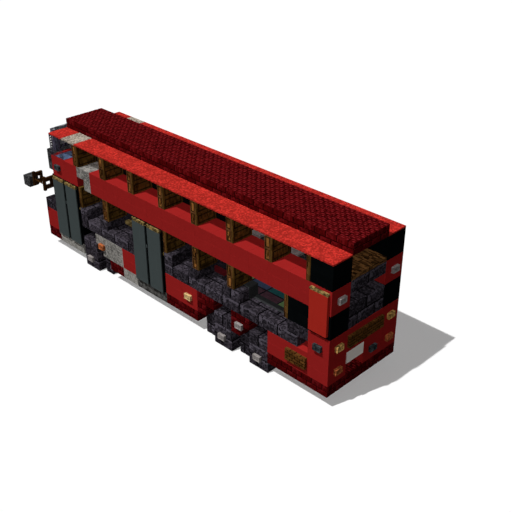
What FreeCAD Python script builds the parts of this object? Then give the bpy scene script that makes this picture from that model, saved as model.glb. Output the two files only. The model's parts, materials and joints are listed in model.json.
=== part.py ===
import FreeCAD, Part
import math
import os

# A double-decker bus put together from big square blocks.  Every place in this file is given in blocks:
# x runs forward from the rear wall, y is measured from the centre plane with the left side positive, and
# z is measured from the underside of the skirt.  The blocks become millimetres in mm_x, mm_y and mm_z.
# In the millimetre frame +X is forward, +Y is left, +Z is up, and the origin is on the floor under the
# middle of the whole bus.

# ---- driving dimensions ----
BLOCK = 630.0            # side of one block, mm: four blocks make the 2.52 m width of a city bus
FLOOR_Z = -0.5           # the wheels stand half a block below the skirt
HALF_WIDTH = 2.0
INNER = 1.0              # inner face of the side walls, which are one block thick
ROOF_FRONT = 17.0        # front end of the roof and of the upper deck
NOSE = 18.0              # front end of the lower body
BUTTON_PROUD = 0.125     # lamps, buttons and signs stand this far out of their wall
MIRROR_FRONT = 18.5
MID_X = (MIRROR_FRONT - BUTTON_PROUD) / 2
FINE = 1 / 16            # the fine step of panes, plates and frames
PANEL_INSET = 0.083      # a flat panel stops this far inside the edges of its block

# levels of the body, as (bottom, top)
SKIRT = (0.0, 0.5)
LOWER_WALL = (0.5, 1.5)
ARCH_STEPS = ((0.5, 1.0), (1.0, 1.5))
SILL_ROW = (1.5, 2.0)
SEAT_BACK = (2.0, 2.5)
LOWER_WINDOW = (2.5, 3.5)
DOORWAY = (0.5, 3.5)
CAB_WINDOW = (2.0, 3.5)
BAND = (3.5, 4.5)
UPPER_WINDOW = (4.5, 5.5)
FELT = (5.5, 5.5 + FINE)
ROOF = (5.5, 6.0)
WALL = (INNER, HALF_WIDTH)
MIDDLE = (0.0, INNER)    # used with "across", from one inner face to the other

# wheels and axles
AXLE_Z = -0.01
TYRE_R = 0.49
RIM_R = 0.36
SPINDLE_R = 0.07
RUNNING_FIT = 0.05       # mm, radial, between a spindle or pin and its bore
FRONT_AXLE_X = 14.5
REAR_AXLES_X = (3.5, 5.5)
WHEEL_OUT = 1.9
FRONT_WHEEL_IN = 1.41
REAR_WHEEL_IN = 1.06
KINGPIN_Y = 1.72
STEER_CLEAR = 15.1       # the walls ahead of a front wheel start here, so that the wheel can steer

# arch posts: square studs under the wall between the wheels
STUD_HALF = 0.25
STUD_Y = (1.25, 1.75)
STUD_Z = (-0.48, 0.5)

# wheel covers: square plates held by the spindles, outside the wheels, each with a flap behind its wheel
COVER_IN, COVER_OUT = 1.92, 2.0
COVER_HALF = 0.48
FLAP_OUT = 0.53          # from the wheel's axis back to the flap's rear face
FLAP_T = 0.02
BUTTON_HALF_W, BUTTON_HALF_H = 3 * FINE, 2 * FINE

# doors, each with two leaves that swing outwards about their outer edges
# columns: name, rear end, front end
DOORS = (("front", 15.0, 17.0), ("centre", 9.0, 11.0))
HINGE_IN = 0.1           # hinge axis from the end of the doorway
HINGE_Y = 2.05
HINGE_EDGE = 0.07        # from the end of the doorway to a leaf's hinged edge
MEETING_GAP = 0.006      # from the middle of the doorway to a leaf's free edge
LEAF_Z = (0.51, 3.405)
BACKING_Y = (2.03, 2.08)
FACE_Y = (2.07, 2.125)
PIVOT_R = 0.012
PIVOT_IN = 0.05          # how far a pin reaches into a leaf
POST_W = 3 * FINE        # width of one window post


def mm_x(x):
    return (x - MID_X) * BLOCK


def mm_y(y):
    return y * BLOCK


def mm_z(z):
    return (z - FLOOR_Z) * BLOCK


def box(x0, x1, y0, y1, z0, z1):
    corner = FreeCAD.Vector(mm_x(x0), mm_y(y0), mm_z(z0))
    return Part.makeBox((x1 - x0) * BLOCK, (y1 - y0) * BLOCK, (z1 - z0) * BLOCK, corner)


def cylinder(x, y, z, axis, length, radius, grow=0.0):
    """A cylinder from (x, y, z) along axis; grow is an extra radius in mm."""
    start = FreeCAD.Vector(mm_x(x), mm_y(y), mm_z(z))
    return Part.makeCylinder(radius * BLOCK + grow, length * BLOCK, start, FreeCAD.Vector(*axis))


def boxes(rows):
    """Boxes from rows of (side, x0, x1, (y0, y1), (z0, z1)); side is left, right, both or across."""
    made = []
    for side, x0, x1, (y0, y1), (z0, z1) in rows:
        if side in ("left", "both"):
            made.append(box(x0, x1, y0, y1, z0, z1))
        if side in ("right", "both"):
            made.append(box(x0, x1, -y1, -y0, z0, z1))
        if side == "across":
            made.append(box(x0, x1, -y1, y1, z0, z1))
    return made


def joined(solids):
    if len(solids) == 1:
        return solids[0]
    return solids[0].multiFuse(solids[1:]).removeSplitter()


def save(name, shape):
    shape.exportStep("parts/" + name + ".step")


def arch_steps(x):
    """The two steps over a wheel, the upper one set back by half a block."""
    return [
        ("both", x, x + 1, WALL, ARCH_STEPS[0]),
        ("both", x, x + 1, (INNER, 1.5), ARCH_STEPS[1]),
    ]


def stud(x):
    return ("both", x - STUD_HALF, x + STUD_HALF, STUD_Y, STUD_Z)


os.makedirs("parts", exist_ok=True)

# ---- body pieces that are plain blocks: rows are (side, x0, x1, (y0, y1), (z0, z1)) ----
BODY = {
    "brick_skirts": [
        ("both", 0, 3, WALL, SKIRT),
        ("across", 0, 1, MIDDLE, SKIRT),
        ("left", 7, 9, WALL, SKIRT),
        ("left", 12, 13, WALL, SKIRT),
        ("right", 7, 13, WALL, SKIRT),
        ("left", 17, NOSE, WALL, SKIRT),
        ("right", STEER_CLEAR, NOSE, WALL, SKIRT),
        ("across", 17, NOSE, MIDDLE, SKIRT),
    ],
    "brick_arch_blocks": [
        ("both", 4, 5, WALL, ARCH_STEPS[1]),
        ("both", 4.5, 5, WALL, ARCH_STEPS[0]),
        ("both", 6, 7, WALL, ARCH_STEPS[1]),
        ("both", 6.5, 7, WALL, ARCH_STEPS[0]),
    ],
    "light_stone_panels": [
        ("both", 12, 13.5, WALL, LOWER_WALL),
        ("both", 13.5, 14, WALL, ARCH_STEPS[1]),
        ("both", 14, 14.5, WALL, BAND),
        ("both", 14.5, 15, WALL, (4.0, 4.5)),
    ],
    "red_side_panels": [
        ("both", 0, 3, WALL, LOWER_WALL),
        ("both", 0, 1, WALL, (1.5, 2.5)),
        ("left", 7, 9, WALL, LOWER_WALL),
        ("left", 11, 12, WALL, LOWER_WALL),
        ("right", 7, 12, WALL, LOWER_WALL),
        ("left", 17, NOSE, WALL, LOWER_WALL),
        ("right", 15, NOSE, WALL, LOWER_WALL),
    ],
    "stone_arch_steps": arch_steps(3) + arch_steps(5) + arch_steps(14) + [stud(4.5), stud(6.5), stud(13.5)],
    "stone_waist_row": [
        ("both", 1, 2, WALL, SEAT_BACK),
        ("left", 1.5, 9, WALL, SILL_ROW),
        ("left", 11, 15, WALL, SILL_ROW),
        ("right", 1.5, NOSE, WALL, SILL_ROW),
        ("left", 17, NOSE, WALL, SILL_ROW),
        ("across", 17, NOSE, MIDDLE, SILL_ROW),
    ],
    "lower_seats": [
        ("both", 4.5, 5.5, WALL, SEAT_BACK),
        ("both", 7, 7.5, WALL, SEAT_BACK),
        ("left", 8.5, 9, WALL, SEAT_BACK),
        ("right", 8.5, 9.5, WALL, SEAT_BACK),
        ("left", 11, 11.5, WALL, SEAT_BACK),
        ("right", 10.5, 11.5, WALL, SEAT_BACK),
        ("both", 13, 13.5, WALL, SEAT_BACK),
        ("left", 14.5, 15, WALL, SEAT_BACK),
        ("right", 14.5, 15.5, WALL, SEAT_BACK),
    ],
    "black_corner_blocks": [
        ("both", 0, 2, WALL, LOWER_WINDOW),
        ("both", 0, 1, WALL, UPPER_WINDOW),
    ],
    "red_deck_band": [
        ("both", 0, 14, WALL, BAND),
        ("both", 15, ROOF_FRONT, WALL, BAND),
    ],
    "front_blind_box": [
        ("across", ROOF_FRONT, 17.75, (0, 1.75), BAND),
    ],
    "felt_roof_strips": [
        ("both", 0, 15, WALL, FELT),
        ("both", 16, ROOF_FRONT, WALL, FELT),
    ],
    "pale_felt_strips": [
        ("both", 15, 16, WALL, FELT),
    ],
    "roof_slab": [
        ("across", 0, ROOF_FRONT, MIDDLE, ROOF),
    ],
    "rear_stone_tiers": [
        ("across", 0, 1, MIDDLE, LOWER_WINDOW),
        ("across", 0, 1, MIDDLE, (4.0, 4.5)),
    ],
    "rear_wood_shelf": [
        ("across", 0, 1, MIDDLE, (4.5, 4.5 + 3 * FINE)),
    ],
    "plank_signs": [
        ("across", -BUTTON_PROUD, 0, MIDDLE, (1.75, 2.25)),
        ("both", 1, 2, (HALF_WIDTH, HALF_WIDTH + BUTTON_PROUD), (0.77, 1.27)),
    ],
    "rear_hanging_panels": [
        ("both", PANEL_INSET, 1 - PANEL_INSET, (HALF_WIDTH, FACE_Y[1]), (2.65, 4.317)),
    ],
    "engine": [
        ("across", 1.1, 2.9, (0, 0.8), (0.5, 1.2)),
    ],
    "underframe": [
        ("across", 1, 17, MIDDLE, (0.25, 0.5)),
        ("both", 1, 17, (0.5, 0.65), (0.1, 0.25)),
    ],
}
for name, rows in BODY.items():
    save(name, joined(boxes(rows)))

# ---- rear and front red walls between the side walls, and the blank plates on them ----
PLATE_Z = (1.0, 1.5)
rear_wall = box(0, 1, -INNER, INNER, 0.5, 2.5)
rear_wall = rear_wall.cut(box(0, 0.5, 0, INNER, 0.5, PLATE_Z[0]))
rear_wall = rear_wall.cut(box(0, FINE, 0, INNER, *PLATE_Z))
front_wall = box(17, NOSE, -INNER, INNER, *LOWER_WALL)
save("red_end_panels", Part.makeCompound([rear_wall, front_wall]))
rear_plate = box(0, FINE, 0, INNER, *PLATE_Z)
front_plate = box(NOSE, NOSE + 0.03, -0.5, 0.5, 0.75, 1.1)
save("blank_plates", Part.makeCompound([rear_plate, front_plate]))

# ---- lower floor: raised decks with entrance wells at the two doors ----
DECK = (1.3, 1.5)
RISER = 0.1
RISER_Z = (0.5, 1.5)
WELL_STEP_Z = (0.5, 1.0)
WELL_STEP_GO = 0.4
CAB_EDGE = (-0.2, -0.1)  # riser between the front well and the driver's platform
lower_floor = [
    box(1, 9, -INNER, INNER, *DECK),
    box(9 - RISER, 9, -INNER, INNER, *RISER_Z),
    box(9, 9 + WELL_STEP_GO, -INNER, INNER, *WELL_STEP_Z),
    box(11 - WELL_STEP_GO, 11, -INNER, INNER, *WELL_STEP_Z),
    box(11, 11 + RISER, -INNER, INNER, *RISER_Z),
    box(11, 15, -INNER, INNER, *DECK),
    box(15 - RISER, 15, -INNER, INNER, *RISER_Z),
    box(15, 15 + WELL_STEP_GO, CAB_EDGE[1], INNER, *WELL_STEP_Z),
    box(15, 17, -INNER, CAB_EDGE[0], *DECK),
    box(15, 17, *CAB_EDGE, *RISER_Z),
]
save("lower_floor", joined(lower_floor))

# ---- upper floor with the stair opening on the right, and the stair itself ----
STAIR_X = (11.5, 14.0)
STAIR_Y = (-1.0, -0.15)
STEP = 0.5               # rise and going of a stair step
UPPER_FLOOR_Z = (3.5, 4.0)
upper_floor = box(1, ROOF_FRONT, -INNER, INNER, *UPPER_FLOOR_Z)
save("upper_floor", upper_floor.cut(box(*STAIR_X, *STAIR_Y, *UPPER_FLOOR_Z)))
steps = []
for k in range(5):
    front = STAIR_X[1] - STEP * k
    top = DECK[1] + STEP * (k + 1)
    bottom = max(DECK[1], top - 2 * STEP)
    steps.append(box(front - STEP, front, *STAIR_Y, bottom, top))
save("staircase", joined(steps))

# ---- upper benches: seat and low back, left out on the right beside the stair ----
BENCH_Y = (0.4, 0.95)
BENCH_GO = 0.7
BENCH_BACK = 0.15
# columns: side, x of the rear face of each bench
BENCHES = (
    ("left", (2, 4, 6, 8, 10, 12, 14)),
    ("right", (2, 4, 6, 8, 10)),
)
benches = []
for side, places in BENCHES:
    for x in places:
        benches += boxes([
            (side, x, x + BENCH_GO, BENCH_Y, (4.0, 4.25)),
            (side, x, x + BENCH_BACK, BENCH_Y, (4.25, 4.5)),
        ])
save("upper_benches", joined(benches))

# ---- window posts: flat boards across the wall, most of them in pairs ----
# columns: deck, side, width, x centres
POSTS = (
    (LOWER_WINDOW, "left", 2 * POST_W, (13, 7, 5)),
    (LOWER_WINDOW, "right", 2 * POST_W, (15, 13, 11, 9, 7, 5)),
    (UPPER_WINDOW, "both", 2 * POST_W, (15, 13, 11, 9, 7, 5, 3)),
    (LOWER_WINDOW, "left", POST_W, (15 - POST_W / 2, 9 - POST_W / 2)),
    (LOWER_WINDOW, "both", POST_W, (2 + POST_W / 2,)),
    (UPPER_WINDOW, "both", POST_W, (1 + POST_W / 2,)),
)
posts = []
for deck, side, width, centres in POSTS:
    for x in centres:
        posts += boxes([(side, x - width / 2, x + width / 2, WALL, deck)])
save("wood_window_posts", Part.makeCompound(posts))

# ---- black door frames, and the front pillars outside the cab windows ----
HEADER_Z = (3.4, 3.5)
PILLAR_X = (17.0, 17.0 + 2 * FINE)
PILLAR_Y = (1.7, HALF_WIDTH)
frames = {}
for name, rear, front in DOORS:
    frames[name] = boxes([
        ("left", rear, rear + POST_W, WALL, DOORWAY),
        ("left", front - POST_W, front, WALL, DOORWAY),
        ("left", rear, front, WALL, HEADER_Z),
    ])
frames["front"] += boxes([("left", *PILLAR_X, PILLAR_Y, CAB_WINDOW)])
frames["cab"] = boxes([
    ("right", 17 - POST_W, 17, WALL, CAB_WINDOW),
    ("right", *PILLAR_X, PILLAR_Y, CAB_WINDOW),
])
save("black_frames", Part.makeCompound([joined(solids) for solids in frames.values()]))

# ---- door leaves with their sills and header bars; each leaf turns on a pin at each end ----
BORE_DEPTH = 0.06
LUG_Z = (0.42, 0.49)
LUG_HALF = 0.03
BAR_Z = (3.5 - PANEL_INSET, 3.5)
PIN_TOP = 3.43           # a top pin is rooted this high in its header bar
REAR_BAR_Z = (4.317, 4.4)


def leaf(end, middle):
    """One leaf between the doorway's end and its middle."""
    inward = 1 if middle > end else -1
    backing = sorted((end + inward * HINGE_EDGE, middle - inward * MEETING_GAP))
    face = sorted((end + inward * PANEL_INSET, middle - inward * PANEL_INSET))
    solid = joined([box(*backing, *BACKING_Y, *LEAF_Z), box(*face, *FACE_Y, *LEAF_Z)])
    for z0 in (LEAF_Z[0], LEAF_Z[1] - BORE_DEPTH):
        bore = cylinder(end + inward * HINGE_IN, HINGE_Y, z0, (0, 0, 1), BORE_DEPTH, PIVOT_R, RUNNING_FIT)
        solid = solid.cut(bore)
    return solid


def hinge_pin(x, z0, z1):
    return cylinder(x, HINGE_Y, z0, (0, 0, 1), z1 - z0, PIVOT_R)


sills = {
    "light_sills": boxes([("left", STEER_CLEAR, 17, WALL, SKIRT), ("left", 11, 12, WALL, SKIRT)]),
    "patterned_sill": boxes([("left", 9, 11, WALL, SKIRT)]),
}
header_bars = boxes([("both", PANEL_INSET, 1 - PANEL_INSET, (HALF_WIDTH, FACE_Y[1]), REAR_BAR_Z)])
for (name, rear, front), sill in zip(DOORS, ("light_sills", "patterned_sill")):
    middle = (rear + front) / 2
    for end, place in ((rear, "rear"), (front, "front")):
        save(name + "_door_" + place + "_leaf", leaf(end, middle))
        inward = 1 if middle > end else -1
        hinge_x = end + inward * HINGE_IN
        lug = box(hinge_x - LUG_HALF, hinge_x + LUG_HALF, HALF_WIDTH, BACKING_Y[1], *LUG_Z)
        sills[sill] += [lug, hinge_pin(hinge_x, LUG_Z[0], LEAF_Z[0] + PIVOT_IN)]
        bar_x = sorted((end + inward * PANEL_INSET, middle - inward * PANEL_INSET))
        bar = box(*bar_x, HALF_WIDTH, FACE_Y[1], *BAR_Z)
        header_bars.append(joined([bar, hinge_pin(hinge_x, LEAF_Z[1] - PIVOT_IN, PIN_TOP)]))
for name, solids in sills.items():
    save(name, joined(solids))
save("header_bars", Part.makeCompound(header_bars))

# ---- glass: a windscreen and two side panes on each deck, and the corner panes of the upper deck ----
PANE_X = (17.5 - FINE, 17.5 + FINE)
PANE_Y = (1.5 - FINE, 1.5 + FINE)
PANE_GAP = 0.005         # each pane is a sheet of its own
UPPER_PANE = (UPPER_WINDOW[0] + PANE_GAP, UPPER_WINDOW[1])
side_pane = (PANE_Y[0] + PANE_GAP, PANE_Y[1])
save("glass_panes", Part.makeCompound(boxes([
    ("across", *PANE_X, (0, PANE_Y[0]), CAB_WINDOW),
    ("both", PILLAR_X[1], PANE_X[1], side_pane, CAB_WINDOW),
    ("across", *PANE_X, (0, PANE_Y[0]), UPPER_WINDOW),
    ("both", ROOF_FRONT, PANE_X[1], side_pane, UPPER_WINDOW),
    ("both", 16, ROOF_FRONT, (HALF_WIDTH - FINE, HALF_WIDTH), UPPER_WINDOW),
])))

# ---- square buttons and lamps ----
# faces: the walls at y = 2 and -2, the rear wall, the nose, and the rear wheel covers
# columns: colour node, face, place along the face, height
BUTTONS = (
    ("orange_lamps", "sides", 13.5, 1.0),
    ("orange_lamps", "rear", 1.5, 1.0),
    ("orange_lamps", "nose", 1.5, 1.75),
    ("yellow_lamps", "sides", 7.5, 1.0),
    ("yellow_lamps", "rear", 1.5, 2.0),
    ("yellow_lamps", "nose", 1.5, 1.0),
    ("grey_buttons", "sides", 4.5, 1.0),
    ("grey_buttons", "rear", 1.5, 4.0),
    ("grey_buttons", "covers", 3.5, 0.0),
    ("grey_buttons", "covers", 5.5, 0.0),
    ("dark_buttons", "sides", 16.5, 4.0),
    ("dark_buttons", "sides", 0.5, 2.0),
)


def button(face, along, z):
    """The two buttons of a row, one on each side of the centre plane."""
    high = (z - BUTTON_HALF_H, z + BUTTON_HALF_H)
    wide = (along - BUTTON_HALF_W, along + BUTTON_HALF_W)
    if face == "rear":
        return boxes([("both", -BUTTON_PROUD, 0, wide, high)])
    if face == "nose":
        return boxes([("both", NOSE, NOSE + BUTTON_PROUD, wide, high)])
    base = COVER_OUT if face == "covers" else HALF_WIDTH
    return boxes([("both", *wide, (base, base + BUTTON_PROUD), high)])


lamps = {}
for name, face, along, z in BUTTONS:
    lamps.setdefault(name, []).extend(button(face, along, z))
rear_latch = button("rear", 0.5, 1.0)[1]
lamps["dark_buttons"].append(rear_latch)
for name, solids in lamps.items():
    save(name, Part.makeCompound(solids))

# ---- mirrors: two small wooden frames in a row, a rod through them, and a square head in front ----
# columns: rear face of a frame, y of its bars' inner ends
MIRROR_FRAMES = ((17.0, HALF_WIDTH), (17.875, HALF_WIDTH + FINE))
FRAME_INNER = (HALF_WIDTH + FINE, HALF_WIDTH + 3 * FINE)
FRAME_POST = (HALF_WIDTH + 7 * FINE, HALF_WIDTH + 9 * FINE)
LOW_BAR_Z = (2.875, 3.0625)
TOP_BAR_Z = (3.25, 3.4375)
FRAME_POST_Z = (2.8125, 3.5)
ROD_Y = (2.4725, 2.5275)
ROD_Z = (3.1, 3.155)
arms = []
for side in ("left", "right"):
    rod = boxes([(side, 17 + 2 * FINE, 18 - 2 * FINE, ROD_Y, ROD_Z)])
    for x, root_y in MIRROR_FRAMES:
        rod += boxes([
            (side, x, x + 2 * FINE, (root_y, FRAME_POST[0]), LOW_BAR_Z),
            (side, x, x + 2 * FINE, (root_y, FRAME_POST[0]), TOP_BAR_Z),
            (side, x, x + 2 * FINE, FRAME_INNER, (LOW_BAR_Z[1], TOP_BAR_Z[0])),
            (side, x, x + 2 * FINE, FRAME_POST, FRAME_POST_Z),
        ])
    arms.append(joined(rod))
save("mirror_arms", Part.makeCompound(arms))
save("mirror_heads", Part.makeCompound(boxes([("both", 18.0, MIRROR_FRONT, (2.25, 2.75), (2.75, 3.25))])))

# ---- driver's place, on the right ----
SEAT_X, SEAT_Y = 15.7, -0.58
SEAT_HALF = 0.35
PEDESTAL_HALF = 0.15
CUSHION_Z = (1.85, 2.0)
SEAT_BACK_T = 0.15
SEAT_TOP = 2.95
seat_y = (SEAT_Y - SEAT_HALF, SEAT_Y + SEAT_HALF)
pedestal_y = (SEAT_Y - PEDESTAL_HALF, SEAT_Y + PEDESTAL_HALF)
save("driver_seat", joined([
    box(SEAT_X - PEDESTAL_HALF, SEAT_X + PEDESTAL_HALF, *pedestal_y, DECK[1], CUSHION_Z[0]),
    box(SEAT_X - SEAT_HALF, SEAT_X + SEAT_HALF, *seat_y, *CUSHION_Z),
    box(SEAT_X - SEAT_HALF, SEAT_X - SEAT_HALF + SEAT_BACK_T, *seat_y, CUSHION_Z[1], SEAT_TOP),
]))

HUB_X, HUB_Z = 16.5, 2.3
COLUMN_TILT = 25.0       # degrees, back from upright
COLUMN_R = 0.04
RIM_RING_R = 0.34
RIM_SECTION_R = 0.03
SPOKE_R = 0.02
tilt = math.radians(COLUMN_TILT)
column_axis = FreeCAD.Vector(-math.sin(tilt), 0, math.cos(tilt))
hub = FreeCAD.Vector(mm_x(HUB_X), mm_y(SEAT_Y), mm_z(HUB_Z))
column_length = (HUB_Z - DECK[1]) / math.cos(tilt)
column = Part.makeCylinder(COLUMN_R * BLOCK, column_length * BLOCK, hub, column_axis * -1)
column = column.cut(box(HUB_X - 1, HUB_X + 1, -INNER, 0, DECK[0] - RISER, DECK[1]))
steering = [column, Part.makeTorus(RIM_RING_R * BLOCK, RIM_SECTION_R * BLOCK, hub, column_axis)]
ORIGIN = FreeCAD.Vector(0, 0, 0)
for turn in (0, 120, 240):
    spoke = Part.makeCylinder(SPOKE_R * BLOCK, RIM_RING_R * BLOCK, ORIGIN, FreeCAD.Vector(1, 0, 0))
    spoke.rotate(ORIGIN, FreeCAD.Vector(0, 0, 1), turn)
    spoke.rotate(ORIGIN, FreeCAD.Vector(0, 1, 0), -COLUMN_TILT)
    spoke.translate(hub)
    steering.append(spoke)
save("steering_wheel", joined(steering))

# ---- axles: two dead rear axles with spindles, and a front beam that ends in kingpin eyes ----
BEAM_R = 0.1
FRONT_BEAM_HALF = 0.06
EYE_R = 0.06
EYE_HALF = 0.05
EYE_Z = (AXLE_Z - EYE_HALF, AXLE_Z + EYE_HALF)
KINGPIN_R = 0.03
SADDLE_HALF = 0.15
SADDLE_Y = (0.5, 0.65)
SADDLE_Z = (AXLE_Z, 0.1)
axles = []
for x in REAR_AXLES_X:
    beam = cylinder(x, -INNER, AXLE_Z, (0, 1, 0), 2 * INNER, BEAM_R)
    spindles = cylinder(x, -COVER_IN, AXLE_Z, (0, 1, 0), 2 * COVER_IN, SPINDLE_R)
    saddles = boxes([("both", x - SADDLE_HALF, x + SADDLE_HALF, SADDLE_Y, SADDLE_Z)])
    axles.append(joined([beam, spindles] + saddles))
beam_x = (FRONT_AXLE_X - FRONT_BEAM_HALF, FRONT_AXLE_X + FRONT_BEAM_HALF)
front_axle = [box(*beam_x, -KINGPIN_Y, KINGPIN_Y, *EYE_Z)]
front_axle += boxes([("both", FRONT_AXLE_X - SADDLE_HALF, FRONT_AXLE_X + SADDLE_HALF, SADDLE_Y, SADDLE_Z)])
for side in (1, -1):
    front_axle.append(cylinder(FRONT_AXLE_X, side * KINGPIN_Y, EYE_Z[0], (0, 0, 1), 2 * EYE_HALF, EYE_R))
front_axle = joined(front_axle)
for side in (1, -1):
    pin_place = (FRONT_AXLE_X, side * KINGPIN_Y, EYE_Z[0])
    front_axle = front_axle.cut(cylinder(*pin_place, (0, 0, 1), 2 * EYE_HALF, KINGPIN_R, RUNNING_FIT))
axles.append(front_axle)
save("axles", Part.makeCompound(axles))

# ---- rear wheel covers, on the ends of the fixed spindles ----
COVER_Z = (-COVER_HALF, COVER_HALF)
COVER_Y = (COVER_IN, COVER_OUT)
UNDER_SKIRT_Z = (-COVER_HALF, -0.02)   # the rearmost flap ends under the skirt


def cover(side, x, inner_y, flap_z):
    """A cover plate on one side, with the flap behind its wheel from inner_y out to the plate."""
    return boxes([
        (side, x - COVER_HALF, x + COVER_HALF, COVER_Y, COVER_Z),
        (side, x - FLAP_OUT, x - COVER_HALF, COVER_Y, flap_z),
        (side, x - FLAP_OUT, x - FLAP_OUT + FLAP_T, (inner_y, COVER_OUT), flap_z),
    ])


covers = []
for x, flap_z in zip(REAR_AXLES_X, (UNDER_SKIRT_Z, COVER_Z)):
    for side in ("left", "right"):
        covers.append(joined(cover(side, x, REAR_WHEEL_IN, flap_z)))
save("rear_wheel_covers", Part.makeCompound(covers))

# ---- front knuckles: a fork round the eye with its kingpin, a spindle, and the cover on the spindle ----
FORK_GAP = 0.01
LUG_T = 0.05
LUG_HALF_W = 0.05
FORK_PLATE_Y = (1.785, 1.803)
FORK_PLATE_HALF = 0.08
fork_gap_z = (EYE_Z[0] - FORK_GAP, EYE_Z[1] + FORK_GAP)
fork_z = (fork_gap_z[0] - LUG_T, fork_gap_z[1] + LUG_T)
lug_x = (FRONT_AXLE_X - LUG_HALF_W, FRONT_AXLE_X + LUG_HALF_W)
lug_y = (KINGPIN_Y - LUG_HALF_W, FORK_PLATE_Y[1])
plate_x = (FRONT_AXLE_X - FORK_PLATE_HALF, FRONT_AXLE_X + FORK_PLATE_HALF)
cap_x = (FRONT_AXLE_X - BUTTON_HALF_W, FRONT_AXLE_X + BUTTON_HALF_W)
for name, side in (("left", 1), ("right", -1)):
    fork = boxes([
        (name, *lug_x, lug_y, (fork_gap_z[1], fork_z[1])),
        (name, *lug_x, lug_y, (fork_z[0], fork_gap_z[0])),
        (name, *plate_x, FORK_PLATE_Y, fork_z),
    ])
    pin_length = fork_z[1] - fork_z[0]
    kingpin = cylinder(FRONT_AXLE_X, side * KINGPIN_Y, fork_z[0], (0, 0, 1), pin_length, KINGPIN_R)
    spindle_length = COVER_IN - FORK_PLATE_Y[0]
    spindle = cylinder(FRONT_AXLE_X, side * FORK_PLATE_Y[0], AXLE_Z, (0, side, 0), spindle_length, SPINDLE_R)
    save(name + "_knuckle", joined(fork + [kingpin, spindle]))
    cap_y = (COVER_OUT, COVER_OUT + BUTTON_PROUD)
    cap = boxes([(name, *cap_x, cap_y, (-BUTTON_HALF_H, BUTTON_HALF_H))])
    front_cover = cover(name, FRONT_AXLE_X, FRONT_WHEEL_IN, COVER_Z)
    save(name + "_front_wheel_cover", joined(front_cover + cap))


# ---- wheels, turned about the spindle axis ----
def turned(x, side, outline):
    """A ring turned about the axle at x from (y, radius) points; y grows outwards on its side."""
    points = [FreeCAD.Vector(mm_x(x), mm_y(side * y), mm_z(AXLE_Z) + r * BLOCK) for y, r in outline]
    face = Part.Face(Part.makePolygon(points + points[:1]))
    centre = FreeCAD.Vector(mm_x(x), 0, mm_z(AXLE_Z))
    return face.revolve(centre, FreeCAD.Vector(0, 1, 0), 360)


BORE_R = SPINDLE_R + RUNNING_FIT / BLOCK
DISC = 0.09              # depth of the dished front wheel disc, seen from inside
SHOULDER = 0.03
TWIN_GAP = 2 * SHOULDER  # between the two tyres of a rear wheel
SHOULDER_R = TYRE_R - SHOULDER
FRONT_OUTLINE = (
    (WHEEL_OUT, BORE_R),
    (WHEEL_OUT, SHOULDER_R),
    (WHEEL_OUT - SHOULDER, TYRE_R),
    (FRONT_WHEEL_IN + SHOULDER, TYRE_R),
    (FRONT_WHEEL_IN, SHOULDER_R),
    (FRONT_WHEEL_IN, RIM_R),
    (WHEEL_OUT - DISC, RIM_R),
    (WHEEL_OUT - DISC, BORE_R),
)
TWIN_MID = (WHEEL_OUT + REAR_WHEEL_IN) / 2
TWIN_OUTLINE = (
    (WHEEL_OUT, BORE_R),
    (WHEEL_OUT, SHOULDER_R),
    (WHEEL_OUT - SHOULDER, TYRE_R),
    (TWIN_MID + TWIN_GAP / 2 + SHOULDER, TYRE_R),
    (TWIN_MID + TWIN_GAP / 2, SHOULDER_R),
    (TWIN_MID + TWIN_GAP / 2, RIM_R),
    (TWIN_MID - TWIN_GAP / 2, RIM_R),
    (TWIN_MID - TWIN_GAP / 2, SHOULDER_R),
    (TWIN_MID - TWIN_GAP / 2 - SHOULDER, TYRE_R),
    (REAR_WHEEL_IN + SHOULDER, TYRE_R),
    (REAR_WHEEL_IN, SHOULDER_R),
    (REAR_WHEEL_IN, BORE_R),
)
for name, side in (("left", 1), ("right", -1)):
    save("front_" + name + "_wheel", turned(FRONT_AXLE_X, side, FRONT_OUTLINE))
    for x, place in zip(REAR_AXLES_X, ("rear", "middle")):
        save(place + "_" + name + "_wheel", turned(x, side, TWIN_OUTLINE))
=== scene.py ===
import functools
import json
import math

import bmesh
import bpy
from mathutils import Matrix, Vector

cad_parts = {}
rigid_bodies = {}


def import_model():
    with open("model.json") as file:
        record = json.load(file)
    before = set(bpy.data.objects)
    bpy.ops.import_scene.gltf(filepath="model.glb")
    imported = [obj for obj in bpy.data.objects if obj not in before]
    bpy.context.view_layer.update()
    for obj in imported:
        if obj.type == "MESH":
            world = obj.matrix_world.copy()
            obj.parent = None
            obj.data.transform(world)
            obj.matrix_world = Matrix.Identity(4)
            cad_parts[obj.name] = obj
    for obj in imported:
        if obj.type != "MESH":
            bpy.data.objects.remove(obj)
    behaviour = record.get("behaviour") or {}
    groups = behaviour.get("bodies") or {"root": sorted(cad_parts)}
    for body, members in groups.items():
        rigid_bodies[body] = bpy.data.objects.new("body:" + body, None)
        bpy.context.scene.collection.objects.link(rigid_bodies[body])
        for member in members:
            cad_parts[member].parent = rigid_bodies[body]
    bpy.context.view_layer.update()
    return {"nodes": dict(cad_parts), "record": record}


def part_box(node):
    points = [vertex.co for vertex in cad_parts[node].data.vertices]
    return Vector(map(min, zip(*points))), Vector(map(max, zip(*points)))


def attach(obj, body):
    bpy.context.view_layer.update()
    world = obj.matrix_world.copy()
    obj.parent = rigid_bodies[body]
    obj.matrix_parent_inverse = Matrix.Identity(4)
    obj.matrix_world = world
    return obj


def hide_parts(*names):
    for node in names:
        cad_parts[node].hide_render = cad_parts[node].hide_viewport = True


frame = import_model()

# The looks of a double-decker bus put together from big square blocks.
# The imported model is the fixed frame.  Places are given in blocks, as in the model's own lattice: x forward
# from the rear wall, y from the centre plane with the left side positive, z from the underside of the skirt.
# Joints, edges, thicknesses and depths are in metres.

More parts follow.
